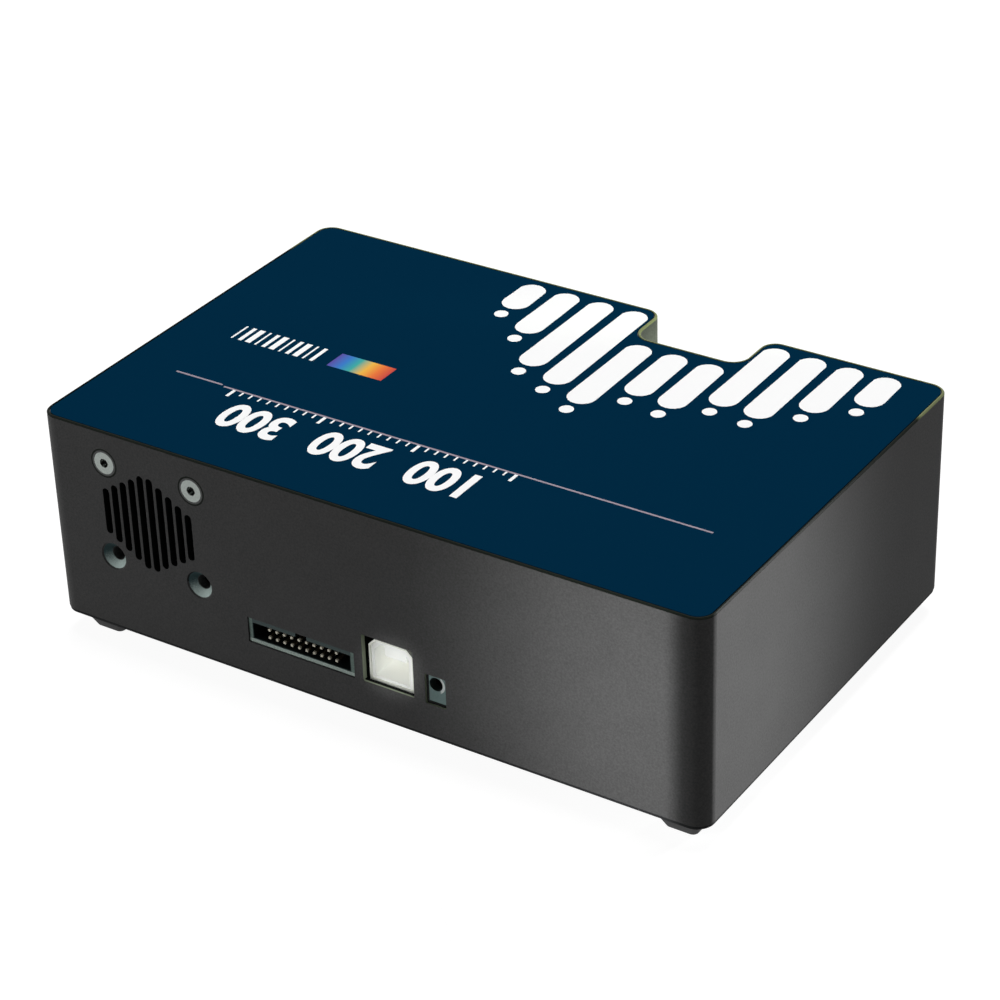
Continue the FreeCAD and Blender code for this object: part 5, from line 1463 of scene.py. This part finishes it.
@dataclass
class Connector:
    """Fibre connector in the bay, with its thread cut."""

    axis: tuple[float, float, float] = (25.4, 42.0, 41.6)
    front: float = 10.0
    rear: float = -12.6
    crest: float = 3.175
    root: float = 2.88
    pitch: float = 0.7
    thread_start: float = 2.8
    thread_stop: float = 9.6
    relief: float = 2.8
    bore: float = 1.6
    bore_floor: float = 0.6
    light_hole: float = 0.8
    across_corners: float = 9.238
    hex_height: float = 2.0
    hex_chamfer: tuple[float, float] = (0.4, 0.3)
    crest_shares: tuple[float, float] = (0.4, 0.6)
    facets: int = 48

    def dress(self, effects: Effects) -> None:
        """Finish the carried-over nodes and make the body anew.

        Args:
            effects: The shared surface effects.
        """
        nickel = Finish(
            "connector_nickel", (204, 200, 190), roughness=0.25, metallic=1.0, grain=0.2, contrast=0.2,
        )
        self._make_body(wear(effects, nickel, "connector_washer", "connector_nut"))

    def _make_body(self, nickel: bpy.types.Material) -> None:
        """Turn the barrel with its thread and put the hexagon round it.

        Args:
            nickel: The connector's finish.
        """
        profile = [(self.bore, self.front), (self.root, self.front)]
        height = self.thread_stop
        while height - self.pitch > self.thread_start:
            profile += [(self.crest, height - self.pitch * share) for share in self.crest_shares]
            profile.append((self.root, height - self.pitch))
            height -= self.pitch
        profile += [
            (self.relief, self.thread_start), (self.relief, 0.0), (self.crest, 0.0), (self.crest, self.rear),
            (self.light_hole, self.rear), (self.light_hole, self.bore_floor), (self.bore, self.bore_floor),
        ]
        mesh = bmesh.new()
        turned(mesh, profile, self.facets)
        corner, inner = self.across_corners / 2, (self.bore + self.relief) / 2
        inwards, down = self.hex_chamfer
        hexagon = [
            (inner, 0.0), (corner, 0.0), (corner, self.hex_height - down),
            (corner - inwards, self.hex_height), (inner, self.hex_height),
        ]
        turned(mesh, hexagon, 6)
        place = Matrix.Translation(Vector(self.axis) * MM) @ Matrix.Rotation(math.radians(-90), 4, "X")
        bmesh.ops.transform(mesh, matrix=place, verts=mesh.verts)
        piece = smooth(finished("fibre_connector_turned", mesh, nickel), degrees=30.0)
        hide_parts("fibre_connector")


# Floor, light and camera


def outward(azimuth: float, elevation: float) -> Vector:
    """The unit vector to a place round the object.

    Args:
        azimuth: Degrees round from -Y towards +X.
        elevation: Degrees above the table.

    Returns:
        The direction from the object.
    """
    around, above = math.radians(azimuth), math.radians(elevation)
    return Vector((math.sin(around) * math.cos(above), -math.cos(around) * math.cos(above), math.sin(above)))


@dataclass(frozen=True)
class SoftBox:
    """A square studio light."""

    name: str
    azimuth: float
    elevation: float
    distance: float
    size: float
    power: float

    def place(self) -> None:
        """Hang the light."""
        data = bpy.data.lights.new(self.name, "AREA")
        data.shape = "SQUARE"
        data.size = self.size * MM
        data.energy = self.power
        light = bpy.data.objects.new(self.name, data)
        direction = outward(self.azimuth, self.elevation)
        light.location = direction * self.distance * MM
        light.rotation_euler = direction.to_track_quat("Z", "Y").to_euler()
        light.visible_camera = False
        bpy.context.scene.collection.objects.link(light)


@dataclass(frozen=True)
class SideLight:
    """A low studio spot with a soft oval beam, aimed at one end of a side face."""

    name: str
    azimuth: float
    elevation: float
    distance: float
    target: tuple[float, float, float]
    power: float
    beam: float
    stretch: float = 1.0
    radius: float = 8.0
    tint: tuple[float, float, float] = (1.0, 1.0, 1.0)

    def place(self) -> None:
        """Set up the spot."""
        data = bpy.data.lights.new(self.name, "SPOT")
        data.energy = self.power
        data.color = self.tint
        data.spot_size = math.radians(self.beam)
        data.spot_blend = 1.0
        data.shadow_soft_size = self.radius * MM
        light = bpy.data.objects.new(self.name, data)
        direction = outward(self.azimuth, self.elevation)
        light.location = (Vector(self.target) + direction * self.distance) * MM
        light.rotation_euler = direction.to_track_quat("Z", "Y").to_euler()
        light.scale = (1.0, self.stretch, 1.0)
        light.visible_camera = False
        bpy.context.scene.collection.objects.link(light)


@dataclass
class Flag:
    """A black card that keeps a side light off one corner. It shows nowhere but in the light."""

    light: SideLight
    edge: tuple[float, float]
    before: float = 50.0
    width: float = 20.0
    height: float = 75.0

    def place(self) -> None:
        """Stand the card square to the light, its edge on the line from the light to the edge point."""
        towards = outward(self.light.azimuth, 0.0)
        sideways = Vector((-towards.y, towards.x, 0.0))
        middle = Vector((*self.edge, 0.0)) + towards * self.before + sideways * self.width / 2
        mesh = bmesh.new()
        bmesh.ops.create_grid(mesh, x_segments=1, y_segments=1, size=0.5)
        turn = towards.to_track_quat("Z", "Y").to_matrix().to_4x4()
        size = Matrix.Diagonal((self.width * MM, 2 * self.height * MM, 1.0, 1.0))
        bmesh.ops.transform(mesh, matrix=Matrix.Translation(middle * MM) @ turn @ size, verts=mesh.verts)
        data = bpy.data.meshes.new("light_flag")
        mesh.to_mesh(data)
        mesh.free()
        black = bpy.data.materials.new("black_card")
        black.use_nodes = True
        black.node_tree.nodes["Principled BSDF"].inputs["Base Color"].default_value = (0.0, 0.0, 0.0, 1.0)
        data.materials.append(black)
        card = bpy.data.objects.new("light_flag", data)
        bpy.context.scene.collection.objects.link(card)
        card.visible_camera = card.visible_glossy = card.visible_transmission = card.visible_diffuse = False


@dataclass
class Studio:
    """White floor, soft lights and the camera at the photograph's angle."""

    camera_place: tuple[float, float, float] = (329.12, -491.79, 384.82)
    azimuth: float = 33.736
    elevation: float = 30.833
    roll: float = -1.923
    lens: float = 109.70
    sensor: float = 36.0
    near_clip: float = 0.01
    floor_size: float = 12.0
    floor_shade: float = 0.2
    floor_glow: float = 0.94
    floor_roughness: float = 0.9
    shadow_reach: tuple[float, float] = (0.14, 0.4)
    fill: float = 0.06
    soft_boxes: tuple[SoftBox, ...] = (
        SoftBox("overhead_box", 180.0, 80.0, 1300.0, 600.0, 15.0),
        SoftBox("left_box", -57.0, 10.0, 1300.0, 400.0, 3.9),
    )
    front_light: SideLight = SideLight(
        "front_light", -46.0, 1.5, 600.0, (76.0, -55.0, 31.0), 20.8, 6.7, stretch=2.2, radius=20.0
    )
    side_light: SideLight = SideLight("side_light", 163.0, 1.0, 900.0, (85.0, -61.0, 31.0), 97.0, 3.2, 4.0)
    bay_light: SideLight = SideLight(
        "bay_light", 112.0, 5.0, 500.0, (11.6, 50.0, 49.0), 19.0, 3.2, tint=(0.85, 1.0, 0.72)
    )
    socket_light: SideLight = SideLight(
        "socket_light", 22.0, 24.0, 500.0, (7.05, -52.0, 19.2), 6.5, 2.0, radius=2.5
    )
    flag_edge: tuple[float, float] = (77.5, -55.0)

    def build(self) -> None:
        """Set up everything round the object."""
        self._floor()
        self._world()
        spots = (self.front_light, self.side_light, self.bay_light, self.socket_light)
        for light in (*self.soft_boxes, *spots):
            light.place()
        Flag(self.front_light, self.flag_edge).place()
        self._camera()
        bpy.context.scene.view_settings.view_transform = "Standard"

    def _seen(self, wiring: Wiring) -> bpy.types.NodeSocket:
        """One where the camera, a mirror or a glass looks straight at the surface.

        Args:
            wiring: The material's node tree.

        Returns:
            1 for such a ray and 0 for any other.
        """
        path = wiring.add("LightPath")
        direct = wiring.math("ADD", path.outputs["Is Camera Ray"], path.outputs["Is Glossy Ray"])
        return wiring.math("MINIMUM", wiring.math("ADD", direct, path.outputs["Is Transmission Ray"]), 1.0)

    def _floor(self) -> None:
        """A pale floor that shows white and keeps the shadow."""
        mesh = bmesh.new()
        bmesh.ops.create_grid(mesh, x_segments=1, y_segments=1, size=self.floor_size / 2)
        data = bpy.data.meshes.new("floor")
        mesh.to_mesh(data)
        mesh.free()
        floor = bpy.data.objects.new("floor", data)
        bpy.context.scene.collection.objects.link(floor)
        material = bpy.data.materials.new("white_floor")
        material.use_nodes = True
        wiring = Wiring(material.node_tree)
        shader = wiring.tree.nodes["Principled BSDF"]
        shader.inputs["Base Color"].default_value = (*[self.floor_shade] * 3, 1.0)
        shader.inputs["Roughness"].default_value = self.floor_roughness
        shader.inputs["Specular IOR Level"].default_value = 0.0
        shader.inputs["Emission Color"].default_value = (1.0, 1.0, 1.0, 1.0)
        x, y, _ = wiring.split(wiring.add("TexCoord").outputs["Object"])
        far = wiring.step(wiring.distance(x, y), *self.shadow_reach)
        glow = wiring.math("MULTIPLY_ADD", far, 1.0 - self.floor_glow, self.floor_glow)
        wiring.feed(shader.inputs["Emission Strength"], wiring.math("MULTIPLY", self._seen(wiring), glow))
        data.materials.append(material)

    def _world(self) -> None:
        """White where it is seen, and a plain dim fill for the object."""
        world = bpy.data.worlds.new("studio")
        bpy.context.scene.world = world
        world.use_nodes = True
        wiring = Wiring(world.node_tree)
        background = wiring.tree.nodes["Background"]
        strength = wiring.math("MULTIPLY_ADD", self._seen(wiring), 1.0 - self.fill, self.fill)
        background.inputs["Color"].default_value = (1.0, 1.0, 1.0, 1.0)
        wiring.feed(background.inputs["Strength"], strength)

    def _camera(self) -> None:
        """The camera where the photograph was taken from."""
        data = bpy.data.cameras.new("camera")
        data.lens = self.lens
        data.sensor_width = self.sensor
        data.clip_start = self.near_clip
        camera = bpy.data.objects.new("camera", data)
        level = outward(self.azimuth, self.elevation).to_track_quat("Z", "Y").to_matrix().to_4x4()
        tilt = Matrix.Rotation(math.radians(self.roll), 4, "Z")
        camera.matrix_world = Matrix.Translation(Vector(self.camera_place) * MM) @ level @ tilt
        bpy.context.scene.collection.objects.link(camera)
        bpy.context.scene.camera = camera


def main() -> None:
    """Dress the whole object and light it."""
    logging.basicConfig(level=logging.INFO, format="%(name)s: %(message)s")
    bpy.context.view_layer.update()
    effects = Effects()
    Studio().build()
    case = Case()
    case.dress(effects)
    case.make_feet(effects)
    label = Label()
    label.dress(effects)
    label.make_print(effects)
    electronics = Electronics()
    for assembly in (Sockets(), Fan(), electronics, Bench(), Connector()):
        assembly.dress(effects)
    electronics.make_parts(effects)


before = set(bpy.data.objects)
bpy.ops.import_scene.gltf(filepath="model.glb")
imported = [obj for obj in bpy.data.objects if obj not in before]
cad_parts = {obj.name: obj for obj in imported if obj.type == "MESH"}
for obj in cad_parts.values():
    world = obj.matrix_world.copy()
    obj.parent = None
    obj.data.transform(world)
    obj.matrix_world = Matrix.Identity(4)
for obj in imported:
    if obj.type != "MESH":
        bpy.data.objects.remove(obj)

if __name__ == "__main__":
    main()
